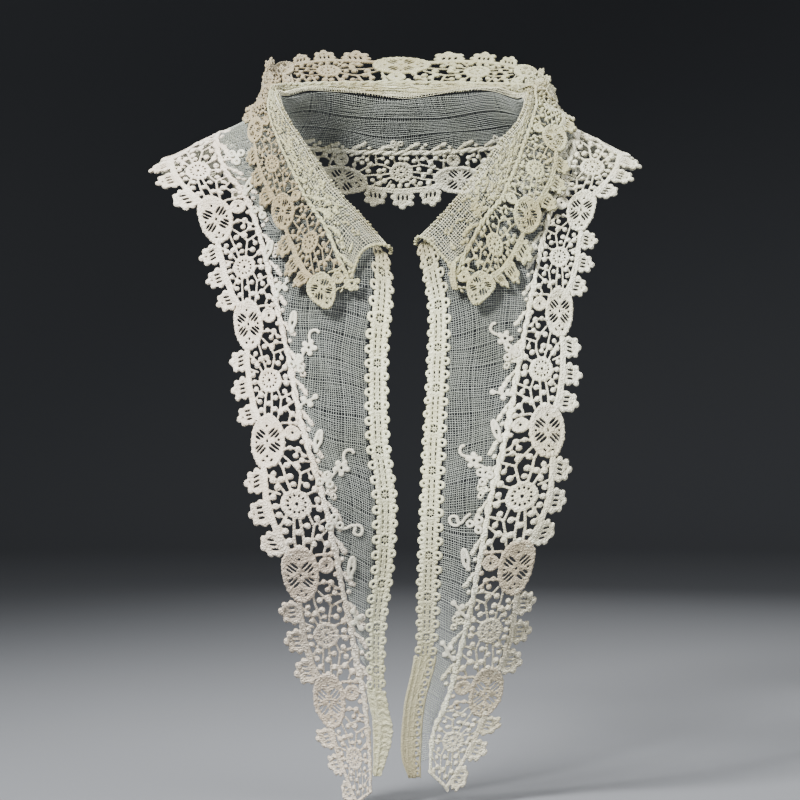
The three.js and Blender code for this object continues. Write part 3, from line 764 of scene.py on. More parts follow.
class Sketch:
    """A flat motif drawn as overlapping rounded solids in millimetres, then fused into one body."""

    def __init__(self, seed: int, waver: float) -> None:
        """Start an empty sketch.

        Args:
            seed: Seed of its unevenness.
            waver: How far points stray, in millimetres.
        """
        self._bm = bmesh.new()
        self._random = np.random.default_rng(seed)
        self._waver = waver

    def _stray(self, at: Spot) -> Spot:
        """Move a point a little, as a hand would."""
        dx, dy = self._random.normal(0, self._waver, 2) if self._waver else (0, 0)
        return (at[0] + dx, at[1] + dy)

    def _ball(self, where: Matrix, radius: float) -> None:
        """Add a ball."""
        bmesh.ops.create_icosphere(self._bm, subdivisions=2, radius=radius, matrix=where)

    def bead(self, at: Spot, radius: float, flatness: float = 0.85) -> None:
        """Add a round knot of thread."""
        x, y = self._stray(at)
        self._ball(Matrix.Translation((x, y, 0)) @ Matrix.Diagonal((1, 1, flatness, 1)), radius)

    def bar(self, route: Route, radius: float, flatness: float = 0.9) -> None:
        """Add a bar of wrapped threads.

        Args:
            route: Where it runs.
            radius: Its radius.
            flatness: Its height as a share of its width.
        """
        points = [Vector((*self._stray(p), 0)) for p in route]
        flatten = Matrix.Diagonal((1, 1, flatness, 1))
        ends = {"radius1": radius, "radius2": radius, "cap_ends": True, "segments": 10}
        for start, end in zip(points, points[1:]):
            step = end - start
            turn = Vector((0, 0, 1)).rotation_difference(step).to_matrix().to_4x4()
            where = flatten @ Matrix.Translation((start + end) / 2) @ turn
            bmesh.ops.create_cone(self._bm, depth=step.length, matrix=where, **ends)
        for point in points:
            self._ball(flatten @ Matrix.Translation(point), radius)

    def stem(self, at: Spot, routes: Iterable[Route], radius: float) -> None:
        """Tie a bud to the nearest place on some bars.

        Args:
            at: The bud's place.
            routes: Where the bars run.
            radius: The stem's radius.
        """
        steps = [np.linspace(start, end, 9) for route in routes for start, end in zip(route, route[1:])]
        near = min(np.concatenate(steps), key=lambda place: math.dist(place, at))
        self.bar([at, tuple(near)], radius)

    def ring(self, at: Spot, radius: float, thread: float, sides: int) -> None:
        """Add a ring of thread.

        Args:
            at: Its middle, which strays as a whole.
            radius: Its radius.
            thread: The thread's radius.
            sides: How many straight steps it is made of.
        """
        middle = self._stray(at)
        waver, self._waver = self._waver, 0.0
        turns = [2 * math.pi * k / sides for k in range(sides + 1)]
        self.bar([swung(middle, turn, radius) for turn in turns], thread, 1.0)
        self._waver = waver

    def plate(self, outline: Route, holes: Iterable[Route], thickness: float) -> None:
        """Add a close-worked plate.

        Args:
            outline: Its outline.
            holes: Outlines of the holes through it.
            thickness: Its thickness.
        """
        edges = []
        for loop in [outline, *holes]:
            verts = [self._bm.verts.new((x, y, -thickness / 2)) for x, y in loop]
            edges += [self._bm.edges.new((a, b)) for a, b in zip(verts, verts[1:] + verts[:1])]
        filled = bmesh.ops.triangle_fill(self._bm, use_beauty=True, edges=edges, normal=(0, 0, 1))
        faces = [item for item in filled["geom"] if isinstance(item, bmesh.types.BMFace)]
        raised = bmesh.ops.extrude_face_region(self._bm, geom=faces, use_keep_orig=True)
        verts = [item for item in raised["geom"] if isinstance(item, bmesh.types.BMVert)]
        bmesh.ops.translate(self._bm, verts=verts, vec=(0, 0, thickness))

    def cut_past(self, last: float) -> None:
        """Cut the drawing off square, and close the cut.

        Args:
            last: The length along it where it is cut.
        """
        everything = self._bm.verts[:] + self._bm.edges[:] + self._bm.faces[:]
        plane = {"plane_co": (last, 0, 0), "plane_no": (1, 0, 0), "dist": 1e-5}
        cut = bmesh.ops.bisect_plane(self._bm, geom=everything, clear_outer=True, **plane)
        edges = [item for item in cut["geom_cut"] if isinstance(item, bmesh.types.BMEdge)]
        bmesh.ops.holes_fill(self._bm, edges=edges, sides=0)

    def fused(self, name: str, triangles: int, voxel: float) -> Motif:
        """Fuse the solids into one soft body.

        Args:
            name: Name of the mesh.
            triangles: How many triangles to keep.
            voxel: Size of the grid that they are fused on.

        Returns:
            The motif.
        """
        body = placed(f"{name}_rough", mesh_of(self._bm, f"{name}_rough"))
        remesh = body.modifiers.new("fuse", "REMESH")
        remesh.mode = "VOXEL"
        remesh.voxel_size = voxel
        soften = body.modifiers.new("soften", "SMOOTH")
        soften.factor = 0.5
        soften.iterations = 2
        fine = evaluated(body)
        thin = body.modifiers.new("thin", "DECIMATE")
        thin.ratio = min(1.0, triangles / (2 * max(1, len(fine.polygons))))
        mesh = evaluated(body)
        mesh.name = name
        bpy.data.meshes.remove(fine)
        bpy.data.objects.remove(body)
        log.info("motif %s: %d faces", name, len(mesh.polygons))
        return Motif(mesh, places_of(mesh))


def thread_mesh(name: str, threads: Iterable[tuple[Array, Any]], radius: float, roundness: int) -> Mesh:
    """Run round threads along routes, and join their end caps to their sides.

    Args:
        name: Name of the curve that they are made from.
        threads: For each, its route in millimetres and its weight, whole or at each point.
        radius: Radius of a thread of weight 1.
        roundness: How finely its section is rounded.

    Returns:
        The mesh, in metres.
    """
    curve = bpy.data.curves.new(name, "CURVE")
    curve.dimensions = "3D"
    curve.bevel_depth = radius * MM
    curve.bevel_resolution = roundness
    curve.use_fill_caps = True
    for route, weight in threads:
        spline = curve.splines.new("POLY")
        spline.points.add(len(route) - 1)
        spline.points.foreach_set("co", np.column_stack([route * MM, np.ones(len(route))]).ravel())
        spline.points.foreach_set("radius", np.full(len(route), weight))
    body = placed(f"{name}_threads", curve)
    mesh = evaluated(body)
    bpy.data.objects.remove(body)
    bm = bmesh.new()
    bm.from_mesh(mesh)
    bmesh.ops.remove_doubles(bm, verts=bm.verts[:], dist=1e-6)
    bm.to_mesh(mesh)
    bm.free()
    return mesh


def dressed(mesh: Mesh, name: str, look: CottonFinish, flat: Array, tint: Array, relief: Array) -> Piece:
    """Make a smooth-shaded piece of a mesh, with what its material reads.

    Args:
        mesh: The mesh.
        name: Name of the piece.
        look: The finish.
        flat: Flat place of each vertex, for patterns that follow the work.
        tint: How much browner each vertex is; on the edging's turned top this is painted shade.
        relief: How far each stands clear of the painted shade on low thread, 1 where it has none.

    Returns:
        The piece.
    """
    mesh.attributes.new("flat", "FLOAT_VECTOR", "POINT").data.foreach_set("vector", flat.ravel())
    for key, values in (("tint", tint), ("relief", relief)):
        mesh.attributes.new(key, "FLOAT", "POINT").data.foreach_set("value", values)
    mesh.name = name
    mesh.materials.clear()
    mesh.materials.append(look.material())
    mesh.polygons.foreach_set("use_smooth", np.ones(len(mesh.polygons), dtype=bool))
    log.info("%s: %d faces", name, len(mesh.polygons))
    return placed(name, mesh)


class LaidWork:
    """Many copies of flat motifs laid on curved sheets, gathered into one piece."""

    # painted shade by height: the height where thread starts to come out of it, how much more brings it fully
    # out, and how much of its own colour the lowest thread keeps
    relief_from: float = 0.15
    relief_span: float = 0.7
    relief_least: float = 0.55

    def __init__(self, name: str) -> None:
        """Start an empty piece."""
        self.name = name
        self._bm = bmesh.new()
        self._flat: list[Array] = []
        self._tint: list[Array] = []

    def lay(self, motif: Motif, places: Array, flat: Array, tint: Any = 0.0, turned: bool = False) -> None:
        """Add a copy of a motif.

        Args:
            motif: What is laid.
            places: Where each of its vertices goes, in millimetres.
            flat: Flat place of each vertex.
            tint: How much browner this copy is, or each of its vertices; on the edging's turned top it is
                painted shade.
            turned: Whether the copy is mirrored, so that its faces are turned round.
        """
        copy = motif.mesh.copy()
        copy.vertices.foreach_set("co", (places * MM).ravel())
        if turned:
            copy.flip_normals()
        self._bm.from_mesh(copy)
        bpy.data.meshes.remove(copy)
        self._flat.append(flat)
        self._tint.append(np.zeros(len(flat)) + tint)

    def finish(self, finish: CottonFinish) -> Piece:
        """Make the piece of what was laid.

        Args:
            finish: Its material.

        Returns:
            The piece.
        """
        flat = np.concatenate(self._flat)
        # painted shade: the lower a vertex lies in its motif, the more it is darkened towards the shade
        # colour
        rise = np.clip((np.abs(flat[:, 2]) - self.relief_from) / self.relief_span, 0, 1)
        relief = self.relief_least + (1 - self.relief_least) * ease(rise)
        mesh = mesh_of(self._bm, self.name)
        return dressed(mesh, self.name, finish, flat, np.concatenate(self._tint), relief)


@dataclass
class LozengeMotif:
    """A long rounded plate with a lattice of slits, and the rosette and buds that join it to the cord."""

    centre: Spot = (0.0, 22.0)
    half_length: float = 13.9
    half_width: float = 8.2
    # the half length and half width that its holes are drawn for
    drawn_length: float = 13.6
    drawn_width: float = 7.9
    tilt: float = 7.0
    rim: float = 0.95
    thickness: float = 1.2
    slit_reach: float = 5.3
    slit_width: float = 1.5
    # place beside the diagonal and length of each slit of a corner
    slits: Rows = ((-1.9, 5.2), (0.0, 6.2), (1.75, 4.2))
    dots: Route = ((-8.4, 0), (8.4, 0.3), (0, 5.8), (0, -5.8))
    dot_size: float = 1.5
    # along, across, turn, length and width of the other holes
    pricks: Rows = (
        (0, 0, 0.2, 2.1, 1.3), (10.6, 2.1, -0.9, 2.2, 1.2), (10.6, -1.7, 0.9, 2.2, 1.2),
    )
    # outline as shares of the half length and half width, blunt above and pointed below
    outline: Route = (
        (1.01, 0.12), (0.87, 0.55), (0.46, 0.9), (-0.05, 1.01), (-0.52, 0.9), (-0.88, 0.55),
        (-0.98, 0.0), (-0.88, -0.55), (-0.5, -0.9), (0.0, -1.01), (0.48, -0.88), (0.88, -0.48),
    )
    rosette: Spot = (-2.2, 8.2)
    rosette_radius: float = 3.6
    # place and radius of each bud beside the rosette, then route and radius of each bar that ties them
    buds: Rows = (
        ((-7.4, 4.6), 1.6), ((-8.0, 8.2), 1.4), ((3.6, 4.2), 1.5), ((6.1, 11.4), 1.5), ((7.5, 7.4), 1.8),
        ((10.6, 9.8), 1.6), ((10.8, 5.6), 1.4),
    )
    ties: Rows = (
        (((-1.6, 5.2), (-1.4, 1.6)), 1.0),
        (((-8.6, 12.6), (-8.0, 8.2), (-7.4, 4.6), (-5.6, 1.8)), 0.75),
        (((3.6, 4.2), (4.6, 1.8)), 0.8),
        (((6.6, 15.0), (6.1, 11.4), (7.5, 7.4), (10.6, 9.8)), 0.75),
        (((7.5, 7.4), (10.8, 5.6), (12.0, 2.6)), 0.75),
    )
    triangles: int = 5200
    voxel: float = 0.28

    def _spot(self, along: float, across: float) -> Spot:
        """A place on the tilted plate, given as on one of the drawn size."""
        sizes = (self.half_length / self.drawn_length, self.half_width / self.drawn_width)
        return swung(self.centre, math.radians(self.tilt), along * sizes[0], across * sizes[1])

    def build(self, seed: int) -> Motif:
        """Draw one lozenge, its rim worked in knots about two millimetres apart, and fuse it.

        Args:
            seed: Seed of its unevenness.

        Returns:
            The motif.
        """
        sketch = Sketch(seed, 0.12)
        corners = [self._spot(x * self.drawn_length, y * self.drawn_width) for x, y in self.outline]
        outline = smooth_loop(corners)
        sketch.plate(outline, self._holes(), self.thickness)
        sketch.bar([*outline, outline[0]], self.rim, 0.95)
        for k, at in enumerate(outline):
            sketch.bead(at, 1.35 if k % 2 else 1.05, 0.9)
        for dot in (*self.dots, (0, 0)):
            sketch.ring(self._spot(*dot), self.dot_size, 0.62, 10)
        across = self.rosette_radius * 2.2
        eye = slot_hole(self.rosette, 0.4, 1.9, 1.6)
        sketch.plate(slot_hole(self.rosette, 0, across, across), [eye], self.thickness)
        sketch.ring(self.rosette, self.rosette_radius, 0.95, 14)
        sketch.ring(self.rosette, 1.6, 0.6, 10)
        for at, radius in self.buds:
            sketch.bead(at, radius)
        for route, radius in self.ties:
            sketch.bar(route, radius)
        return sketch.fused(f"lozenge_{seed}", self.triangles, self.voxel)

    def _holes(self) -> list[list[Spot]]:
        """Cut three slits towards each corner, and small holes between them.

        Returns:
            The holes' outlines.
        """
        lean = math.radians(self.tilt)
        size = self.half_length / self.drawn_length
        holes = []
        for sx, sy in ((-1, -1), (-1, 1), (1, -1), (1, 1)):
            turn = math.atan2(sy, sx)
            for spread, length in self.slits:
                middle = self._spot(*swung((0.0, 0.0), turn, self.slit_reach, spread * sx * sy))
                holes.append(slot_hole(middle, turn + lean, length * size, self.slit_width))
        holes += [slot_hole(self._spot(*dot), 0, self.dot_size, self.dot_size) for dot in self.dots]
        return holes + [slot_hole(self._spot(along, across), *shape) for along, across, *shape in self.pricks]


@dataclass
class WheelMotif:
    """The open part between two lozenges: a wheel on bars with buds, and a scallop with crowned tabs."""

    centre: Spot = (34.0, 15.6)
    radius: float = 5.9
    bar: float = 0.68
    swell: float = 1.08
    stem: float = 0.55
    # where each tab starts on the scallop, and how far it leans
    tabs: Rows = ((20.4, 26.6, -8.0), (35.0, 27.8, 0.0), (49.8, 26.2, 9.0))
    scallop: Route = (
        (11.5, 25.6), (16.0, 26.2), (21.5, 27.0), (28.0, 27.7), (34.5, 28.0), (41.0, 27.6), (47.5, 26.7),
        (53.0, 25.4), (57.0, 24.4),
    )
    bars: tuple[Route, ...] = (
        ((11.6, 18.4), (16.0, 17.6), (22.0, 17.0), (28.0, 16.4)),
        ((10.4, 15.0), (14.6, 12.4), (19.8, 9.9), (24.0, 11.5), (28.2, 13.4)),
        ((19.8, 9.9), (18.0, 3.0)), ((16.5, 25.8), (22.3, 21.4), (28.6, 19.0)), ((25.2, 27.0), (28.6, 21.4)),
        ((33.4, 27.4), (33.6, 22.0)), ((25.0, 2.6), (28.6, 5.6), (30.6, 10.2)), ((35.4, 9.8), (37.4, 2.6)),
        ((39.0, 11.8), (44.9, 10.5), (43.2, 3.0)), ((44.9, 10.5), (51.5, 12.6), (56.4, 14.6)),
        ((39.6, 18.2), (47.1, 20.4), (55.2, 21.8)), ((40.0, 15.4), (50.6, 16.9), (55.4, 17.8)),
        ((37.6, 20.6), (41.4, 23.6), (44.2, 26.8)), ((47.6, 2.8), (51.0, 8.2), (51.4, 12.4)),
        ((51.0, 8.2), (55.6, 6.4), (56.4, 2.6)), ((55.6, 6.4), (58.8, 8.4)),
        ((14.6, 12.4), (13.6, 7.4), (15.0, 2.8)),
    )
    # place and radius
    buds: Rows = (
        (21.6, 19.0, 1.6), (20.6, 14.6, 1.6), (24.6, 14.4, 1.35), (15.2, 15.0, 1.6), (16.2, 10.2, 1.6),
        (13.4, 7.0, 1.5), (21.4, 23.0, 1.7), (24.8, 21.6, 1.6), (29.6, 24.6, 1.5), (33.4, 24.6, 1.5),
        (37.4, 24.4, 1.5), (25.6, 8.4, 1.6), (22.6, 5.8, 1.4), (28.8, 5.2, 1.7), (33.6, 5.8, 1.6),
        (37.6, 5.8, 1.7), (41.8, 7.6, 1.5), (46.8, 7.0, 1.5), (49.8, 22.6, 1.6), (46.6, 18.0, 1.5),
        (44.4, 13.6, 1.5), (51.2, 15.0, 1.6), (45.0, 23.4, 1.5), (41.6, 21.4, 1.6), (51.4, 9.0, 1.7),
        (55.2, 6.0, 1.8), (53.8, 19.4, 1.4), (57.6, 3.4, 1.5), (53.6, 12.4, 1.5), (17.6, 21.8, 1.4),
    )
    # on a tab, aside and out: the corners of its plate, the bar round them, and its picots with their radii
    corners: Route = ((-4.8, -0.6), (-5.0, 4.6), (-3.6, 8.8), (0, 10.4), (3.6, 8.8), (5.0, 4.6), (4.8, -0.6))
    rim: Route = ((-4.5, 0.8), (-4.9, 4.2), (-3.8, 8.4), (0, 10.4), (3.8, 8.4), (4.9, 4.2), (4.5, 0.8))
    picots: Rows = (
        (-5.0, 4.2, 1.8), (5.0, 4.2, 1.8), (-3.9, 8.5, 1.9), (3.9, 8.5, 1.9), (0, 10.8, 2.1),
    )
    # how far across the hem of a cut end is tied
    hem: tuple[float, ...] = (0.6, 7.0, 14.0, 21.0, 26.5)
    triangles: int = 11600
    voxel: float = 0.3

    def build(self, seed: int, last: float | None = None) -> Motif:
        """Draw one wheel with its bars and tabs, and fuse it.

        Args:
            seed: Seed of its unevenness.
            last: Where the work is cut off and hemmed, if it is.

        Returns:
            The motif.
        """
        sketch = Sketch(seed, 0.25)
        self._wheel(sketch)
        for route in self.bars:
            sketch.bar(route, self.bar)
        for x, y, radius in self.buds:
            sketch.bead((x, y), radius * self.swell)
            sketch.stem((x, y), (*self.bars, self.scallop), self.stem)
        for offset in (-0.7, 0.7):
            sketch.bar([(x, y + offset) for x, y in self.scallop], 1.0)
        for tab in self.tabs:
            self._tab(sketch, *tab)
        if last is not None:
            sketch.cut_past(last)
            sketch.bar([(last - 1.0, y) for y in self.hem], 1.15)
        return sketch.fused(f"wheel_{seed}", self.triangles, self.voxel)

    def _wheel(self, sketch: Sketch) -> None:
        """Draw a disc with a pierced ring between two raised ones.

        Args:
            sketch: What it is drawn on.
        """
        holes = [slot_hole(self.centre, 0.3, 1.7, 1.6)]
        holes += [slot_hole(swung(self.centre, turn, 3.9), turn, 1.5, 1.05) for turn in full_turn(12)]
        sketch.plate([swung(self.centre, turn, self.radius) for turn in full_turn(24)], holes, 1.3)
        sketch.ring(self.centre, self.radius, 0.8, 22)
        for k, turn in enumerate(full_turn(24, 0.5)):
            sketch.bead(swung(self.centre, turn, self.radius), 1.2 if k % 2 else 0.95)
        sketch.ring(self.centre, 2.0, 0.7, 12)

    def _tab(self, sketch: Sketch, along: float, across: float, lean: float) -> None:
        """Draw one crowned tab: a plate with slits, edged with round picots.

        Args:
            sketch: What it is drawn on.
            along: Where it starts along the scallop.
            across: Where it starts across the border.
            lean: How far it leans, in degrees.
        """
        turn = math.radians(lean)
        spot = partial(swung, (along, across), -turn)
        slits = [slot_hole(spot(aside, 4.7), turn + math.pi / 2, 4.4, 1.15) for aside in (-2.4, 0, 2.4)]
        slits.append(slot_hole(spot(0, 8.6), 0, 1.2, 1.2))
        sketch.plate([spot(*corner) for corner in self.corners], slits, 1.1)
        for aside, out, radius in self.picots:
            sketch.bead(spot(aside, out), radius, 0.65)
        sketch.bar([spot(*place) for place in self.rim], 1.0)


@dataclass
class HeadingCord:
    """The thick cord along the inner side of a border, with worked leaves against it."""

    middle: float = 2.0
    half_width: float = 1.3
    half_height: float = 0.9
    step: float = 1.6
    lay: float = 12.0
    lump_every: float = 3.1
    seed: int = 61
    # where each leaf starts and how far it reaches, then share along a leaf and radius of each of its knots
    leaf_rows: Rows = ((3.0, 4.4), (19.0, 3.4), (36.0, 4.8), (53.0, 3.6))
    leaf_length: float = 9.0
    leaf_foot: float = 0.6
    leaf_knots: Rows = ((0.2, 1.3), (0.5, 1.8), (0.8, 1.8), (0.97, 1.4))
    trefoil: Route = ((30.5, -2.0), (33.6, -4.6), (29.4, -5.4))
    buds: Route = ((14.5, -1.2), (47.0, -1.4), (49.4, -3.4), (64.5, -1.2))

    def cord(self, name: str, length: float) -> Motif:
        """Model the cord straight and flat, as two uneven strands that twist round each other.

        Args:
            name: Name of the mesh.
            length: Its length.

        Returns:
            The motif.
        """
        random = np.random.default_rng(self.seed)
        at = np.linspace(0, length, int(length / self.step) + 2)
        knots = np.arange(0, length + 4, self.lump_every)
        twist = at / self.lay * 2 * math.pi
        bm = bmesh.new()
        for way in (-1, 1):
            lumps = np.interp(at, knots, random.uniform(-1, 1, len(knots)))
            sway = np.interp(at, knots * 2, random.uniform(-1, 1, len(knots)))
            width = self.half_width * (1 + 0.3 * lumps)
            aside = self.middle + way * self.half_width * 0.55 * np.sin(twist) + 0.5 * sway
            self._strand(bm, np.column_stack([at, aside, way * 0.35 * np.cos(twist)]), width)
        bmesh.ops.recalc_face_normals(bm, faces=bm.faces[:])
        bmesh.ops.triangulate(bm, faces=bm.faces[:])
        mesh = mesh_of(bm, name)
        return Motif(mesh, places_of(mesh))

    def _strand(self, bm: BMesh, centres: Array, width: Array) -> None:
        """Bridge rings along a route into one strand.

        Args:
            bm: Where it is made.
            centres: Middle of each ring.
            width: Half width of each.
        """
        previous: list[bmesh.types.BMEdge] = []
        upright = Matrix.Rotation(math.pi / 2, 4, "Y")
        for k, centre in enumerate(centres):
            place = Matrix.Translation(centre) @ Matrix.Diagonal((1, width[k], self.half_height, 1)) @ upright
            last = k in (0, len(centres) - 1)
            made = bmesh.ops.create_circle(bm, cap_ends=last, segments=8, radius=1.0, matrix=place)
            edges = list({edge for vert in made["verts"] for edge in vert.link_edges})
            if previous:
                bmesh.ops.bridge_loops(bm, edges=previous + edges)
            previous = edges

    def leaves(self, seed: int) -> Motif:
        """Draw satin leaves, buds and a trefoil for one repeat, on the net side of the cord.

        Args:
            seed: Seed of its unevenness.

        Returns:
            The motif.
        """
        sketch = Sketch(seed, 0.3)
        foot = self.leaf_foot
        for start, reach in self.leaf_rows:
            tip = start + self.leaf_length
            sketch.bar([(start, foot), (start + 4.6, -reach * 0.6), (tip, -reach)], 0.9, 0.8)
            for share, radius in self.leaf_knots:
                x = start + self.leaf_length * share
                sketch.bead((x, foot - (reach + foot) * share**0.8), radius, 0.5)
        for at in self.trefoil:
            sketch.ring(at, 1.35, 0.75, 10)
        sketch.bar([(31.5, -3.4), (31.0, foot)], 0.8)
        for at in self.buds:
            sketch.bead(at, 1.5, 0.6)
        return sketch.fused(f"leaves_{seed}", 1500, 0.3)


@dataclass
class Stretch:
    """One length of border: where it lies, and where each of its motifs starts and which way it runs."""

    place: str
    # the CAD node that its lace stands for
    node: str
    sheet: Sheet
    finish: CottonFinish
    # repeats between which its cord runs
    ends: Spot
    # start, way and tint of each lozenge and wheel, and start and way of each run of leaves
    lozenges: list[tuple[float, int, float]]
    wheels: list[tuple[float, int, float]]
    leaves: list[tuple[float, int]]
    # the last wheel, where the work is cut off
    cut_wheel: Motif | None = None


@dataclass
class Border:
    """The motifs that lengths of border are made of: lozenges, wheels, leaves and cord."""

    lozenges: list[Motif]
    wheels: list[Motif]
    leaves: list[Motif]
    cord: HeadingCord

    def _lay(self, work: LaidWork, sheet: Sheet, motif: Motif, start: float, way: int, tint: Any = 0) -> None:
        """Lay one motif, whose own length runs along or against the border.

        Args:
            work: The piece that it joins.
            sheet: Where it lies.
            motif: What is laid.
            start: Repeat where it starts.
            way: Which way it runs.
            tint: How much browner it is.
        """
        along = start + way * motif.flat[:, 0] / REPEAT
        across, height = motif.flat[:, 1], motif.flat[:, 2]
        flat = np.stack([along * REPEAT, across, height], axis=1)
        work.lay(motif, sheet.place(along, across / BORDER, height), flat, tint, way < 0)

    def lace(self, stretch: Stretch) -> Piece:
        """Lay the lozenges and wheels of a stretch in turn.

        Args:
            stretch: Where they go.

        Returns:
            The piece.
        """
        work = LaidWork(f"border_{stretch.place}")
        for motifs, rows in ((self.lozenges, stretch.lozenges), (self.wheels, stretch.wheels)):
            for k, row in enumerate(rows):
                motif = motifs[k % len(motifs)]
                if stretch.cut_wheel and row is stretch.wheels[-1]:
                    motif = stretch.cut_wheel
                self._lay(work, stretch.sheet, motif, *row)
        return work.finish(stretch.finish)

    def heading(self, stretch: Stretch) -> Piece:
        """Lay the cord of a stretch from end to end, and leaves beside it.

        Args:
            stretch: Where they go.

        Returns:
            The piece.
        """
        work = LaidWork(f"cord_{stretch.place}")
        first, last = stretch.ends
        cord = self.cord.cord(f"cord_{stretch.place}_cord", (last - first) * REPEAT)
        self._lay(work, stretch.sheet, cord, first, 1)
        for k, row in enumerate(stretch.leaves):
            self._lay(work, stretch.sheet, self.leaves[k % len(self.leaves)], *row)
        return work.finish(stretch.finish)


@dataclass(frozen=True)
class Creep:
    """How net threads creep: in a long wave that neighbours share, and a short one of each thread's own."""

    # reach and length of the long wave, and the distance over which its phase swings
    reach: float
    wave: float
    change: float
    own_reach: float
    own_wave: float
    swing: float = 1.8

    def at(self, run: Array, place: float, phase: float, start: float = 0.0) -> Array:
        """Where the thread at a place has crept to from its start, at lengths along it."""
        shared = self.reach * np.sin(run / self.wave + self.swing * math.sin(place / self.change))
        return start + shared + self.own_reach * np.sin(run / self.own_wave + phase)


@dataclass
class NetPanel:
    """A panel of fine net, woven of single threads over a grid of points."""

    name: str
    rows: Array
    # real net has about two threads a millimetre, drawn two and a half times as coarse so that it shows
    pitch: float = 1.24
    thread: float = 0.15
    unevenness: float = 0.16
    # a heavier thread comes about every eleventh, with a wider gap beside it
    heavy: float = 1.35
    heavy_every: int = 11
    wide_gap: float = 1.65
    segment: float = 3.2
    narrowest: float = 1.5
    # the two sets of threads cross this far above and below the surface
    cross_height: float = 0.13
    across_creep: Creep = Creep(1.1, 7, 17, 0.15, 4)
    along_creep: Creep = Creep(0.9, 9, 8, 0.12, 5)
    seed: int = 1

    def __post_init__(self) -> None:
        """Start the unevenness, and read the rows as a surface."""
        self._random = np.random.default_rng(self.seed)
        self._sheet = Sheet(self.rows, *(np.arange(count) for count in self.rows.shape[:2]))

    def build(self, finish: CottonFinish) -> Piece:
        """Weave the panel.

        Args:
            finish: Its material.

        Returns:
            The piece.
        """
        mesh = thread_mesh(self.name, [*self._across(), *self._along()], self.thread, 0)
        count = len(mesh.vertices)
        return dressed(mesh, self.name, finish, np.zeros((count, 3)), np.zeros(count), np.ones(count))

    def _read(self, row: Array, column: Array, height: float) -> Array:
        """Points of the panel between its grid points, raised by a height."""
        row, column = (np.clip(at, 0, count - 1) for at, count in zip((row, column), self.rows.shape))
        return self._sheet.place(row, column, np.full(len(row), height))

    def _places(self, length: float) -> list[Spot]:
        """Space threads unevenly over a length.

        Args:
            length: The length.

        Returns:
            The place of each thread and its weight.
        """
        places = []
        at = self.pitch * 0.5
        until_heavy = self.heavy_every
        while at < length:
            until_heavy -= 1
            weight = self.heavy if until_heavy <= 0 else self._random.uniform(0.85, 1.15)
            if until_heavy <= 0:
                until_heavy = int(self._random.integers(self.heavy_every - 4, self.heavy_every + 6))
            places.append((at, weight))
            gap = self.pitch * self._random.uniform(1 - self.unevenness, 1 + self.unevenness)
            at += gap * (self.wide_gap if weight == self.heavy else 1.0)
        return places

    def _across(self) -> list[tuple[Array, float]]:
        """Run threads from the inner edge to the cord.

        Returns:
            The route of each and its weight.
        """
        steps = steps_of(self.rows[:, self.rows.shape[1] // 2])
        run = run_of(steps)
        widths = np.sum(steps_of(self.rows, 1), axis=1)
        routes = []
        for at, weight in self._places(run[-1]):
            row = np.interp(at, run, np.arange(len(run)))
            width = np.interp(row, np.arange(len(widths)), widths)
            if width < self.narrowest:
                continue
            share = np.linspace(0, 1, max(2, int(width / self.segment) + 1))
            drift = self.across_creep.at(share * width, at, self._random.uniform(0, 2 * math.pi))
            waver = drift / max(steps[int(min(row, len(steps) - 1))], 0.2)
            column = share * (self.rows.shape[1] - 1)
            routes.append((self._read(row + waver, column, self.cross_height), weight))
        return routes

    def _along(self) -> list[tuple[Array, float]]:
        """Run threads that follow the inner edge, each as far as the cord lets it.

        Returns:
            The route of each and its weight.
        """
        run = run_of(steps_of(self.rows, 1))
        whole = run_of(steps_of(self.rows[:, 0]))
        stations = np.arange(0, whole[-1] + self.segment, self.segment)
        row = np.interp(stations, whole, np.arange(len(whole)))
        nearest = np.round(row).astype(int)
        columns = np.arange(self.rows.shape[1])
        routes = []
        for at, weight in self._places(run[:, -1].max()):
            reach = self.along_creep.at(stations, at, self._random.uniform(0, 2 * math.pi), at)
            inside = reach < run[nearest, -1]
            column = np.array([np.interp(r, run[k], columns) for r, k in zip(reach, nearest)])
            breaks = np.flatnonzero(np.diff(inside.astype(int))) + 1
            for part in np.split(np.arange(len(stations)), breaks):
                if len(part) > 1 and inside[part[0]]:
                    routes.append((self._read(row[part], column[part], -self.cross_height), weight))
        return routes


@dataclass(frozen=True)
class FrontNet:
    """Where the net of one front lies, and how the fall's net ends above it."""

    side: Side
    # repeats of the corner at the neckline and of where the net runs out, and the heights of both
    corner: float
    end: float
    top: float
    bottom: float
    # length along the neckline from its nearer end to the corner
    along_corner: float
    # share across the fall from roll to cord, and the repeat where its net ends
    fall_ends: Rows


LEFT_NET = FrontNet(
    Side.LEFT, -3.75, -7.25, -82, -318, 15.2,
    ((0, 5.184), (0.2, 5.13), (0.42, 4.98), (0.62, 4.92), (0.85, 4.96), (1, 5.02)),
)
RIGHT_NET = FrontNet(
    Side.RIGHT, 3.75, 8.25, -78, -370, 16.5,
    ((0, 5.184), (0.2, 5.12), (0.42, 5.03), (0.62, 4.99), (0.85, 4.95), (1, 4.9)),
)


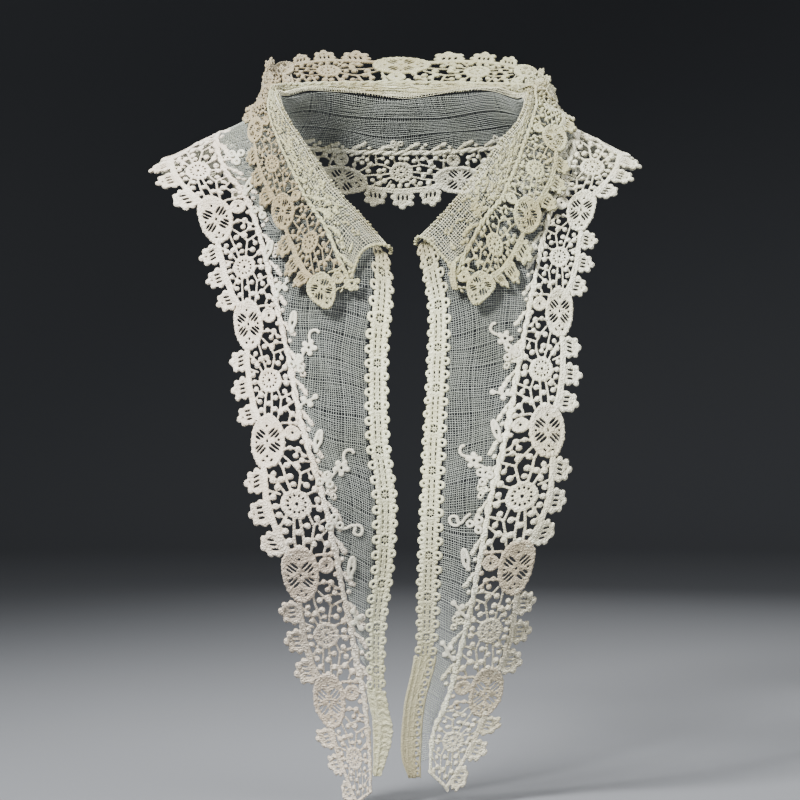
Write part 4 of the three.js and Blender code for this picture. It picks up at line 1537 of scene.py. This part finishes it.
@dataclass
class NetPanels:
    """The four panels of net, each as rows of points from its inner edge to the cord."""

    front_rows: int = 320
    back_rows: int = 240
    columns: int = 13
    # the back's panel starts at this repeat on each side, and at this length along the neckline
    yoke: float = BORDER_JOIN
    along_yoke: float = 118
    under_edging: float = 1.5
    fall_rows: int = 420
    fall_columns: int = 15
    fall_hollow: float = 0.75

    def _between(self, inner: Array, repeat: Array) -> Array:
        """Fill a panel between its inner edge and the cord, settled on the drape.

        Args:
            inner: Points of the inner edge.
            repeat: The repeat of the cord beside each of them.

        Returns:
            Rows of points.
        """
        cord = BODY.at(repeat, np.full(len(repeat), NET_END))
        share = np.linspace(0, 1, self.columns)[None, :, None]
        rows = inner[:, None, :] + (cord - inner)[:, None, :] * share
        return DRAPE.settle(rows.reshape(-1, 3)).reshape(len(inner), self.columns, 3)

    def front(self, net: FrontNet) -> Array:
        """Fill a front, from its lower end to the shoulder or, on the right, back down.

        Args:
            net: Which front.

        Returns:
            Its rows.
        """
        yoke = net.side.value * self.yoke
        repeat = np.linspace(net.end, yoke, self.front_rows)
        down = (repeat - net.corner) / (net.end - net.corner)
        back = (repeat - net.corner) / (yoke - net.corner)
        z = net.top + (net.bottom - net.top) * np.clip(down, 0, 1)
        edge = FRONT_EDGES[net.side]
        along = net.along_corner + (self.along_yoke - net.along_corner) * np.clip(back, 0, 1)
        neck = NECKLINE.at(along if net.side is Side.LEFT else NECKLINE.length - along)
        inner = np.where((down > 0)[:, None], edge.at(z, edge.width(z) - self.under_edging), neck)
        rows = self._between(inner, repeat)
        return rows if net.side is Side.LEFT else rows[::-1]

    def back(self) -> Array:
        """Fill the back, from the left shoulder to the right one.

        Returns:
            Its rows.
        """
        repeat = np.linspace(-self.yoke, self.yoke, self.back_rows)
        share = (repeat + self.yoke) / (2 * self.yoke)
        along = self.along_yoke + (NECKLINE.length - 2 * self.along_yoke) * share
        return self._between(NECKLINE.at(along), repeat)

    def fall(self) -> Array:
        """Fill the fall, from the roll at the neckline to its cord.

        Its front ends are cut in a hollow curve, so each column of points has its own reach.

        Returns:
            Its rows.
        """
        base = np.linspace(-FALL_END, FALL_END, self.fall_rows)
        keys = run_of(steps_of(FALL.lines(np.linspace(-4, 4, 33)), 1).mean(axis=0))
        shares = np.linspace(0, 1, self.fall_columns)
        left, right = (table(net.fall_ends).at(shares)[:, 0] for net in (LEFT_NET, RIGHT_NET))
        straight = FALL_END - self.fall_hollow
        columns = []
        for k, share in enumerate(shares):
            reach = np.where(base < 0, left[k], right[k])
            beyond = np.maximum(0, np.abs(base) - straight) / self.fall_hollow
            hollow = np.sign(base) * (straight + beyond * (reach - straight))
            lines = FALL.lines(np.where(beyond > 0, hollow, base))
            columns.append([SmoothTable(keys, line).at(np.array([share * keys[-1]]))[0] for line in lines])
        return np.array(columns).transpose(1, 0, 2)


@dataclass
class EdgingMotif:
    """One length of the narrow edging: a corded band with a pierced medallion between two rows of rings."""

    length: float = 23.6
    width: float = 14.0
    band: float = 6.7
    overlap: float = 0.3
    medal_radius: float = 3.1
    spokes: int = 8
    # place across and radius of each cord of the band, then places along of its cross stitches
    cords: Rows = ((3.9, 0.7), (4.6, 0.5), (6.2, 0.55), (7.3, 0.55), (8.9, 0.5), (9.6, 0.7))
    crossings: tuple[float, ...] = (1.3, 4.4, 7.0, 16.8, 19.3, 22.2)
    # of the gathered length: its outline, place along and radius of each crease, and its cords
    gathered_outline: Route = (
        (-0.3, 0.9), (5.6, 0.2), (11.8, 0.9), (18.0, 0.2), (23.9, 0.9), (23.9, 13.0), (-0.3, 13.0),
    )
    creases: Rows = (
        (0.6, 1.1), (4.4, 1.3), (7.0, 0.9), (11.2, 1.2), (15.8, 1.0), (18.4, 1.3), (22.0, 0.9),
    )
    gathered_cords: Rows = ((8.8, 1.5), (12.9, 1.0))
    # of the ringed length: how far across its fold reaches, and its cords
    fold: Spot = (0.9, 8.0)
    ringed_cords: Rows = ((1.2, 1.2), (4.4, 0.9), (7.8, 0.95), (13.2, 0.8))

    def build(self, seed: int) -> Motif:
        """Draw one length and fuse it.

        Args:
            seed: Seed of its unevenness.

        Returns:
            The motif.
        """
        sketch = Sketch(seed, 0.1)
        pitch = self.length / 3
        medal = pitch * 1.5
        for across, radius in self.cords:
            gap = math.sqrt(max(0.0, self.medal_radius**2 - (across - self.band) ** 2))
            for start, end in ((-self.overlap, medal - gap), (medal + gap, self.length + self.overlap)):
                sketch.bar([(x, across) for x in np.linspace(start, end, 5)], radius)
        for k in range(3):
            middle = pitch * (k + 0.5)
            sketch.ring((middle, 11.4), 1.7, 0.95, 14)
            sketch.ring((middle + 0.6, 2.5), 1.5, 1.0, 14)
            sketch.bead((middle + 0.6 + pitch / 2, 3.0), 1.75, 0.6)
            sketch.bead((middle + pitch / 2, 10.2), 1.4, 0.6)
        for x in self.crossings:
            sketch.bar([(x, 4.2), (x + 0.3, 9.2)], 0.5)
        self._medal(sketch, (medal, self.band))
        return sketch.fused(f"edging_{seed}", 5800, 0.27)

    def _medal(self, sketch: Sketch, centre: Spot) -> None:
        """Draw a wheel of fine spokes with knots round its rim.

        Args:
            sketch: What it is drawn on.
            centre: Its middle.
        """
        sketch.ring(centre, self.medal_radius, 0.65, 18)
        sketch.ring(centre, 0.75, 0.4, 8)
        for turn in (np.arange(self.spokes) + 0.5) * math.pi / 4:
            rim = swung(centre, turn, self.medal_radius)
            sketch.bar([swung(centre, turn, 0.8), rim], 0.3)
            sketch.bead(rim, 0.95, 0.9)

    def _draw_cords(self, sketch: Sketch, cords: Iterable[Spot]) -> None:
        """Draw cords along a whole length."""
        ends = np.linspace(-self.overlap, self.length + self.overlap, 9)
        for across, radius in cords:
            sketch.bar([(x, across) for x in ends], radius)

    def gathered(self) -> Motif:
        """Draw a length that is folded double and gathered, with soft creases.

        Returns:
            The motif.
        """
        sketch = Sketch(35, 0.25)
        sketch.plate(self.gathered_outline, [], 1.0)
        for start, radius in self.creases:
            sketch.bar([(start, 1.6), (start + 1.6, 4.4), (start + 0.8, 7.8)], radius, 0.85)
            sketch.bar([(start + 1.6, 9.8), (start + 2.4, 12.4)], radius * 0.9)
            sketch.bead((start + 0.6, 1.2), 1.2, 0.8)
        self._draw_cords(sketch, self.gathered_cords)
        return sketch.fused("edging_gathered", 5600, 0.3)

    def ringed(self) -> Motif:
        """Draw a length with a plain folded band beside a row of close rings.

        Returns:
            The motif.
        """
        sketch = Sketch(36, 0.1)
        start, end = -self.overlap, self.length + self.overlap
        low, high = self.fold
        sketch.plate([(start, low), (end, low), (end, high), (start, high)], [], 0.9)
        self._draw_cords(sketch, self.ringed_cords)
        for k in range(4):
            middle = self.length * (k + 0.5) / 4
            sketch.ring((middle, 10.5), 1.7, 0.85, 14)
            sketch.bead((middle + 2.9, 9.4), 0.9, 0.7)
        return sketch.fused("edging_ringed", 5600, 0.28)


@dataclass
class Edging:
    """The edging of one front, laid in lengths from the bottom up."""

    side: Side
    top: float
    bottom: float
    # how much browner the lower end is, fading over the reach, and then how much painted shade darkens the
    # turned top, fading over its own reach
    end_tint: float
    end_reach: float = 170.0
    turned_tint: float = 0.85
    turned_reach: float = 34.0
    slant: float = 10.0
    slant_share: float = 6.0
    centre: float = 6.0

    def _surface(self, down: Array, across: Array) -> Array:
        """Find points of the edging, slanted at the top as the CAD's.

        Args:
            down: Their heights.
            across: Their shares of the width.

        Returns:
            The points.
        """
        share = (down - self.top) / (self.bottom - self.top)
        z = down + self.slant * np.maximum(0, 1 - share * self.slant_share) * across
        edge = FRONT_EDGES[self.side]
        return edge.at(z, edge.width(z) * across)

    def make(self, drawing: EdgingMotif, motifs: list[Motif], ends: list[Motif]) -> Piece:
        """Lay the lengths.

        Args:
            drawing: The sizes that they were drawn to.
            motifs: The lengths in turn.
            ends: The lengths at the bottom, from the lowest up.

        Returns:
            The piece.
        """
        heights = np.linspace(self.bottom, self.top, int((self.top - self.bottom) / 2))
        sheet = Sheet.sampled(self._surface, heights, np.linspace(-0.1, 1.1, 13))
        run = run_of(steps_of(FRONT_EDGES[self.side].at(heights, np.full(len(heights), self.centre))))
        work = LaidWork(f"picot_edging_{self.side.word}")
        count = max(1, round(run[-1] / drawing.length))
        span = run[-1] / count
        flip = self.side is Side.LEFT
        for k in range(count):
            motif = ends[k] if k < len(ends) else motifs[k % len(motifs)]
            along = (k + motif.flat[:, 0] / drawing.length) * span
            across, height = motif.flat[:, 1], motif.flat[:, 2]
            face = -height if flip else height
            places = sheet.place(np.interp(along, run, heights), across / drawing.width, face)
            turned = np.clip(1 - (run[-1] - along) / self.turned_reach, 0, 1)
            ended = np.clip(1 - along / self.end_reach, 0, 1)
            # the turned top is darkened with painted shade, and the lower end is browner
            tint = self.turned_tint * turned + self.end_tint * ended
            work.lay(motif, places, np.stack([along, across, height], axis=1), tint, flip)
        return work.finish(EDGING_COTTON)


@dataclass
class Camera:
    """The photograph's view: level, square to the collar, from a metre and a half away."""

    distance: float = 1.5
    height: float = -0.171
    aside: float = -0.00058
    lens: float = 116.4
    sensor: float = 36.0
    frame_px: int = 800

    def make(self) -> None:
        """Create the camera and make it the scene's."""
        data = bpy.data.cameras.new("view")
        data.sensor_width = self.sensor
        data.lens = self.lens
        camera = placed("view", data)
        camera.location = (self.aside, -self.distance, self.height)
        camera.rotation_euler = (math.pi / 2, 0, 0)
        bpy.context.scene.camera = camera

    def sight(self, px: float, py: float) -> Array:
        """Find the point of the drape's front that the camera sees at a pixel.

        Args:
            px: Pixels from the left of the frame.
            py: Pixels from its top.

        Returns:
            The point in millimetres.
        """
        focal = self.lens / self.sensor * self.frame_px
        point = np.array([[0.0, -90.0, 0.0]])
        for _ in range(6):
            reach = (self.distance / MM + point[:, 1]) / focal
            x = self.aside / MM + (px - self.frame_px / 2) * reach
            z = self.height / MM - (py - self.frame_px / 2) * reach
            point = DRAPE.on_front(x, z)
        return point[0]


CAMERA = Camera()


class Spray(Enum):
    """The small figures embroidered on the net."""

    FLOWER = "flower"
    TREFOIL = "trefoil"
    HOOK = "hook"
    SCROLL = "scroll"
    LEAF = "leaf"
    SPRIG = "sprig"


@dataclass
class Sprays:
    """Embroidered sprays on the net of the fronts, each placed where the photograph shows it."""

    # of each figure: pixel x, pixel y and turn in degrees wherever it stands
    places: Rows = (
        (Spray.FLOWER, ((309, 348, 48), (341, 468, 37), (504.6, 339, 125), (474, 461, 143))),
        (Spray.TREFOIL, (
            (237, 158, 0), (261, 212, 20), (298, 366, 30), (326, 482, 40), (335, 524, 60), (512, 354, 80),
            (486, 477, 100), (477, 526, 20),
        )),
        (Spray.HOOK, ((315, 337, 60), (349, 457, 55), (497, 329, 120), (467, 451, 130))),
        (Spray.SCROLL, ((357, 531, -20), (455, 520, 190))),
        (Spray.LEAF, (
            (250, 185, 60), (269, 250, 70), (293, 321, 80), (318, 440, 75), (351, 566, 80), (496, 430, 105),
            (466, 558, 100),
        )),
        (Spray.SPRIG, (
            (283, 288, 30), (308, 403, 10), (357, 619, 90), (502, 393, 150), (461, 609, 110),
            (448.5, 650, 100),
        )),
    )
    lift: float = 0.8
    scale: float = 1.3

    def _draw(self, kind: Spray) -> Motif:
        """Draw one figure round its middle.

        Args:
            kind: Which figure.

        Returns:
            The motif.
        """
        sketch = Sketch(list(Spray).index(kind) + 40, 0.1)
        if kind is Spray.FLOWER:
            sketch.ring((0, 0), 1.3, 0.65, 10)
            for turn in full_turn(5):
                sketch.bead(swung((0, 0), turn + 0.3, 2.5), 1.25, 0.6)
            sketch.bar([(-2.6, 0.2), (-5.4, -0.5), (-8.6, 0.1)], 0.6, 0.8)
            for at in ((-5.6, 0.9), (-7.2, -1.4)):
                sketch.bead(at, 1.1, 0.6)
        elif kind is Spray.TREFOIL:
            for at in ((-2.0, 1.6), (2.0, 1.8), (0.4, -2.0)):
                sketch.ring(at, 1.2, 0.65, 10)
            sketch.bead((0.2, 0.6), 0.9, 0.7)
        elif kind is Spray.HOOK:
            turns = 2.8 - np.linspace(0, 3.3, 9)
            curl = [(0.2 + 2.4 * math.cos(turn), 0.6 + 2.0 * math.sin(turn)) for turn in turns]
            sketch.bar([(-4.4, -1.6), (-3.2, 0.4), *curl], 0.72, 0.8)
        elif kind is Spray.SCROLL:
            curl = [swung((0, 0), 2.4 - t, 2.5 - 0.2 * t) for t in np.linspace(0, 6.2, 15)]
            sketch.bar([(-6.6, -1.4), (-4.6, -0.2), (-2.8, 1.4), *curl], 0.68, 0.8)
        elif kind is Spray.LEAF:
            turns = np.linspace(0, 2 * math.pi, 15)
            sketch.bar([(3.6 * math.cos(turn), 1.2 * math.sin(turn)) for turn in turns], 0.75, 0.85)
            sketch.bead((0.6, 0), 0.9, 0.6)
            sketch.bead((-4.6, -0.4), 1.1, 0.7)
        else:
            sketch.bar([(-4.2, -1.0), (-1.0, 0.2), (3.0, 1.4)], 0.65, 0.8)
            for at in ((-1.6, 1.7), (0.9, -1.1), (3.4, 1.9), (-3.8, -1.6)):
                sketch.bead(at, 1.35, 0.6)
        return sketch.fused(f"spray_{kind.value}", 760, 0.28)

    def make(self, side: Side) -> Piece:
        """Lay the figures of one front.

        Args:
            side: Which front.

        Returns:
            The piece.
        """
        work = LaidWork(f"sprays_{side.word}")
        for kind, spots in self.places:
            motif = self._draw(kind)
            flat = motif.flat
            for px, py, degrees in spots:
                if (px - CAMERA.frame_px / 2) * side.value < 0:
                    continue
                origin = CAMERA.sight(px, py)
                cos, sin = math.cos(math.radians(degrees)), math.sin(math.radians(degrees))
                x = (flat[:, 0] * cos - flat[:, 1] * sin) * self.scale
                z = (flat[:, 0] * sin + flat[:, 1] * cos) * self.scale
                places = DRAPE.over_front(origin[0] + x, origin[2] + z, flat[:, 2] + self.lift)
                work.lay(motif, places, flat)
        return work.finish(SATIN_COTTON)


@dataclass
class FallEmbroidery:
    """Close embroidery over the net of the fall, which thins out towards its front ends."""

    length: float = 34.0
    width: float = 26.0
    # knots and leaves of a close stretch and of a sparse one
    close: tuple[int, int] = (76, 12)
    sparse: tuple[int, int] = (22, 3)
    halves: int = 20
    picots: int = 8

    def _stretch(self, seed: int, knots: int, leaves: int) -> Motif:
        """Draw the figures of half a repeat.

        Args:
            seed: Seed of their places.
            knots: How many knots.
            leaves: How many leaves.

        Returns:
            The motif.
        """
        random = np.random.default_rng(seed)
        sketch = Sketch(seed, 0.2)
        for _ in range(knots):
            at = (random.uniform(0, self.length), random.uniform(0, self.width))
            sketch.bead(at, random.uniform(1.0, 2.1), 0.42)
        for _ in range(leaves):
            x, y = random.uniform(0, self.length), random.uniform(1, self.width - 3)
            dx, dy = swung((0, 0), random.uniform(-0.9, 0.9), 2.4)
            sketch.bar([(x - dx, y - dy), (x, y + 0.5), (x + dx, y + dy)], 0.85, 0.75)
            sketch.bead((x + dx * 0.5, y + dy * 0.5 + 0.3), 1.7, 0.45)
        return sketch.fused(f"fall_stretch_{seed}", 36 * (knots + 2 * leaves), 0.34)

    def _edge(self) -> Motif:
        """Draw the small picots along the roll for half a repeat.

        Returns:
            The motif.
        """
        sketch = Sketch(91, 0.15)
        for k in range(self.picots):
            at = k * self.length / self.picots + 2.0 + 0.6 * math.sin(k * 2.2)
            sketch.bead((at, 0.0), 1.1 + 0.25 * math.sin(k * 1.7), 0.9)
        return sketch.fused("fall_edge", 420, 0.3)

    def make(self, rows: Array, crest: float) -> Piece:
        """Lay the stretches along the fall.

        Args:
            rows: Points of the fall's net.
            crest: Share across where the roll is highest.

        Returns:
            The piece.
        """
        sheet = Sheet(rows, np.linspace(-FALL_END, FALL_END, len(rows)), np.linspace(0, 1, rows.shape[1]))
        work = LaidWork("fall_embroidery")
        stretches = [self._stretch(seed, *self.close) for seed in (81, 82, 83)]
        sparse = self._stretch(84, *self.sparse)
        edge = self._edge()
        for k in range(self.halves):
            start = (k - self.halves / 2) / 2
            mirrored = start < 0
            body = sparse if k in (0, self.halves - 1) else stretches[k % 3]
            # each motif, where across the net it starts and ends, and how high
            for motif, low, high, lift in ((body, crest + 0.13, 0.99, 0.45), (edge, crest, 0.97, 0.95)):
                along = motif.flat[:, 0] / REPEAT
                u = start + 0.5 - along if mirrored else start + along
                v = low + (high - low) * motif.flat[:, 1] / self.width
                places = sheet.place(u, v, motif.flat[:, 2] * 0.8 + lift)
                work.lay(motif, places, motif.flat, turned=mirrored)
        return work.finish(FALL_LACE)


@dataclass
class FallRim:
    """The narrow hem on a front end of the fall, with what hangs at its end."""

    side: Side
    radius: float = 0.95
    knots: int = 90
    # relief at the middle of the hem, which sets its painted shade, and how far its end's ornament hangs down
    # and stands out
    relief: float = 0.6
    drop: float = 4.5
    stand: float = 6.4

    def make(self, end: Array) -> Piece:
        """Model the hem and its end.

        Args:
            end: The net's end line, from the roll to the cord.

        Returns:
            The piece.
        """
        name = f"fall_hem_{self.side.word}"
        at = np.linspace(0, len(end) - 1, self.knots)
        route = SmoothTable(np.arange(len(end), dtype=float), end).at(at)
        weights = 1 + 0.3 * np.sin(np.arange(len(route)) * 1.1)
        mesh = thread_mesh(name, [(route, weights)], self.radius, 3)
        places = places_of(mesh) / MM
        flat = np.zeros_like(places)
        flat[:, 0] = (places - route[0]) @ unit(route[-1] - route[0])
        flat[:, 2] = self.relief
        work = LaidWork(name)
        work.lay(Motif(mesh, flat), places, flat)
        finial = self._finial()
        x, z = route[-1][0] + finial.flat[:, 0], route[-1][2] - self.drop + finial.flat[:, 1]
        work.lay(finial, DRAPE.over_front(x, z, finial.flat[:, 2] + self.stand), finial.flat)
        return work.finish(FALL_LACE)

    def _finial(self) -> Motif:
        """Draw what hangs at the end: a picot flower on the left, a strip with a ring on the right.

        Returns:
            The motif.
        """
        sketch = Sketch(77, 0.1)
        if self.side is Side.LEFT:
            sketch.ring((0.6, 0), 1.7, 1.0, 12)
            for at in ((-2.7, 1.2), (-2.5, -1.7), (0.2, -3.1), (3.1, -2.3), (3.6, 1.2)):
                sketch.ring(at, 0.9, 0.8, 8)
        else:
            strip = ((-1.4, 4.0), (-2.0, 0), (-1.9, -5.0), (-0.6, -9.5))
            for aside in (-0.9, 0.9):
                sketch.bar([(x + aside, y) for x, y in strip], 0.95)
            sketch.ring((-3.4, 3.6), 1.1, 0.8, 10)
            sketch.bead((-3.6, -1.6), 1.2, 0.8)
        return sketch.fused(f"finial_{self.side.word}", 1600, 0.3)


@dataclass
class Studio:
    """A plain pale sweep of paper, round so that it looks the same from each side, and four soft lights."""

    floor: float = -0.3935
    paper: str = "#616366"
    grain: str = "#66686B"
    grain_scale: float = 900.0
    reach: float = 2.4
    bend: float = 0.8
    wall: float = 1.5
    sides: int = 96
    beam: float = math.radians(80)
    aim: Point = (0, -0.03, -0.17)
    sky: str = "#E8EAEE"
    sky_strength: float = 0.34
    # name, place, size and power of each light
    lights: Rows = (
        ("key", (-0.75, -1.0, 0.75), 0.35, 12.8),
        ("fill", (1.1, -1.1, 0.1), 1.1, 5.4),
        ("top", (0.1, 0.3, 1.1), 0.8, 3.0),
        ("rear", (0.5, 1.5, 0.5), 1.2, 6.0),
    )

    def make(self) -> None:
        """Build the sweep, the lights and the sky."""
        self._sweep()
        for light in self.lights:
            self._light(*light)
        scene = bpy.context.scene
        scene.view_settings.look = "AgX - Medium High Contrast"
        scene.world = bpy.data.worlds.new("studio")
        scene.world.use_nodes = True
        sky = scene.world.node_tree.nodes["Background"].inputs
        sky["Color"].default_value = linear(self.sky)
        sky["Strength"].default_value = self.sky_strength

    def _sweep(self) -> None:
        """Build a round floor that bends up into a low wall on every side."""
        turns = np.linspace(0, math.pi / 2, 13)
        outward = self.reach + self.bend * np.sin(turns)
        upward = self.floor + self.bend * (1 - np.cos(turns))
        wall = (self.reach + self.bend, self.floor + self.wall)
        profile = [(0.0, self.floor), *zip(outward, upward), wall]
        bm = bmesh.new()
        verts = [bm.verts.new((0.0, y, z)) for y, z in profile]
        edges = [bm.edges.new(pair) for pair in zip(verts, verts[1:])]
        whole = {"angle": 2 * math.pi, "steps": self.sides, "use_merge": True}
        bmesh.ops.spin(bm, geom=verts + edges, axis=(0, 0, 1), **whole)
        bmesh.ops.remove_doubles(bm, verts=bm.verts[:], dist=1e-5)
        bmesh.ops.recalc_face_normals(bm, faces=bm.faces[:])
        mesh = mesh_of(bm, "sweep")
        mesh.materials.append(self._paper())
        mesh.polygons.foreach_set("use_smooth", np.ones(len(mesh.polygons), dtype=bool))
        placed("sweep", mesh)

    def _paper(self) -> bpy.types.Material:
        """Make matt backdrop paper, with a grain of about a millimetre.

        Returns:
            The material.
        """
        paper = bpy.data.materials.new("paper")
        paper.use_nodes = True
        tree = paper.node_tree
        place = add_node(tree, "ShaderNodeTexCoord", {}).outputs["Object"]
        feeds = {"Vector": place, "Scale": self.grain_scale, "Detail": 2.0}
        grain = add_node(tree, "ShaderNodeTexNoise", feeds).outputs["Fac"]
        tone = {0: grain, 6: linear(self.paper), 7: linear(self.grain)}
        shader = tree.nodes["Principled BSDF"]
        mixed = add_node(tree, "ShaderNodeMix", tone, data_type="RGBA").outputs[2]
        tree.links.new(mixed, shader.inputs["Base Color"])
        shader.inputs["Roughness"].default_value = 0.95
        return paper

    def _light(self, name: str, at: Point, size: float, power: float) -> None:
        """Set up a square soft light that faces the collar.

        Args:
            name: Its name.
            at: Where it stands.
            size: Its width.
            power: Its power in watts.
        """
        data = bpy.data.lights.new(name, "AREA")
        data.size = size
        data.spread = self.beam
        data.energy = power
        light = placed(name, data)
        light.location = at
        light.rotation_euler = (Vector(self.aim) - Vector(at)).to_track_quat("-Z", "Y").to_euler()


def hold(made: Piece, slot: str, *nodes: str) -> None:
    """Make a piece ride on the collar, and hide the CAD nodes that it stands for.

    Args:
        made: The piece.
        slot: Not used.
        *nodes: The nodes that it stands for.
    """
    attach(made, "root")
    if nodes:
        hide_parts(*nodes)


def border_stretches() -> tuple[list[Stretch], Stretch]:
    """Set out the lengths of border.

    Returns:
        The body's, and the fall's.
    """
    body = border_sheet(BODY.at, 8.5)
    # repeat where each lozenge of a front starts, and its tint: the lower ones have gone browner
    tints = {2.5: 0.1, 3.5: 0.1, 4.5: 0.15, 5.5: 0.35, 6.5: 0.75, 7.5: 0.7}
    cut_wheel = WheelMotif().build(14, (BODY_END - max(tints)) * REPEAT)
    fronts = []
    for side, finish in ((Side.LEFT, LEFT_LACE), (Side.RIGHT, RIGHT_LACE)):
        way = side.value
        lozenges = [(way * start, way, tint) for start, tint in tints.items()]
        wheels = [(start, way, tint * 0.5) for start, way, tint in lozenges[:-1]]
        wheels.append((way * max(tints), way, 0.35))
        leaves = [(start, way) for start, way, _ in lozenges[:-1]]
        first, last = sorted((way * BORDER_JOIN, way * BODY_END))
        motifs = (lozenges, wheels, leaves, cut_wheel)
        fronts.append(Stretch(side.word, f"lace_front_{side.word}", body, finish, (first, last), *motifs))
    behind = (-2.5, -1.5, -0.5, 0.5, 1.5)
    lozenges = [(start, 1, 0.1) for start in behind[1:]]
    wheels = [(start, 1, 0.05) for start in behind]
    leaves = [(start, 1) for start in behind]
    ends = (-BORDER_JOIN, BORDER_JOIN)
    back = Stretch("back", "lace_back", body, RIGHT_LACE, ends, lozenges, wheels, leaves)
    # on the fall the left half has gone browner, apart from its last lozenge
    lozenges = [(k, -1, 0.1 if k == -5 else 0.65) for k in range(-5, 0)]
    lozenges += [(k, 1, 0.0) for k in range(6)]
    wheels = [(way * k, way, tint) for way, tint in ((-1, 0.65), (1, 0.0)) for k in range(5)]
    leaves = [(way * k, way) for way in (-1, 1) for k in range(5)]
    sheet = border_sheet(FALL.at, 5.3)
    fall = Stretch("fall", "lace_fall", sheet, FALL_LACE, (-FALL_END, FALL_END), lozenges, wheels, leaves)
    return [*fronts, back], fall


def build_borders() -> dict[str, Piece]:
    """Make the four lengths of border with their cords.

    Returns:
        The pieces, by the CAD node or the heading that each stands for.
    """
    lozenges = [LozengeMotif().build(seed) for seed in (1, 2)]
    wheels = [WheelMotif().build(seed) for seed in (11, 12, 13)]
    leaves = [HeadingCord().leaves(seed) for seed in (21, 22)]
    wide = Border(lozenges, wheels, leaves, HeadingCord())
    short = [LozengeMotif(half_length=11.6, half_width=8.9, tilt=0.0).build(seed) for seed in (3, 4)]
    narrow = Border(short, wheels, leaves, HeadingCord(half_width=1.15))
    body, fall = border_stretches()
    made = {}
    for border, stretch in (*((wide, stretch) for stretch in body), (narrow, fall)):
        made[stretch.node] = border.lace(stretch)
        made[f"heading_{stretch.place}"] = border.heading(stretch)
    return made


def build_edgings() -> dict[str, Piece]:
    """Make the two centre-front edgings.

    Returns:
        The pieces by the CAD node that each stands for.
    """
    drawing = EdgingMotif()
    motifs = [drawing.build(seed) for seed in (31, 32)]
    left = Edging(Side.LEFT, -92.4, -377, end_tint=0.4).make(drawing, motifs, [drawing.gathered()] * 2)
    right = Edging(Side.RIGHT, -87.4, -378, end_tint=0.9).make(drawing, motifs, [drawing.ringed()] * 3)
    return {"edging_left": left, "edging_right": right}


def build_fall_trim(rows: Array, crest: float = 5.6) -> dict[str, Piece]:
    """Make what lies on the fall's net: its embroidery and the hems of its front ends.

    Args:
        rows: Points of the net.
        crest: Length across, from the foot of the roll to its crest.

    Returns:
        The pieces.
    """
    width = steps_of(rows, 1).mean(axis=0).sum()
    made = {"fall_embroidery": FallEmbroidery().make(rows, crest / width)}
    for side, end in ((Side.LEFT, rows[0]), (Side.RIGHT, rows[-1])):
        made[f"fall_rim_{side.word}"] = FallRim(side).make(end)
    return made


def build_nets(rows: dict[str, Array]) -> None:
    """Weave the four panels, and make each ride on the collar in place of the CAD node that it stands for.

    Args:
        rows: Points of each panel, by the CAD node that it stands for.
    """
    for seed, (node, grid) in enumerate(rows.items(), 5):
        name = f"woven_{node}"
        if node == "net_fall":
            # the fall's net is seen double, so it is drawn a little coarser
            woven = NetPanel(name, grid, pitch=1.48, seed=seed).build(FALL_NET)
        else:
            woven = NetPanel(name, grid, seed=seed).build(NET_COTTON)
        hold(woven, "net", node)


def main() -> None:
    """Dress the collar, light it and set the view."""
    logging.basicConfig(level=logging.INFO, format="%(message)s")
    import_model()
    CAMERA.make()
    Studio().make()
    panels = NetPanels()
    rows = {
        "net_front_left": panels.front(LEFT_NET),
        "net_front_right": panels.front(RIGHT_NET),
        "net_back": panels.back(),
        "net_fall": panels.fall(),
    }
    made = build_borders() | build_fall_trim(rows["net_fall"]) | build_edgings()
    for side in Side:
        made[f"sprays_{side.word}"] = Sprays().make(side)
    slots = {"lace": "lace", "heading": "lace", "edging": "edging", "sprays": "net", "fall": "edging"}
    for key, item in made.items():
        nodes = [key] if key.startswith(("lace", "edging", "fall_rim")) else []
        hold(item, slots[key.split("_")[0]], *nodes)
    build_nets(rows)


if __name__ == "__main__":
    main()
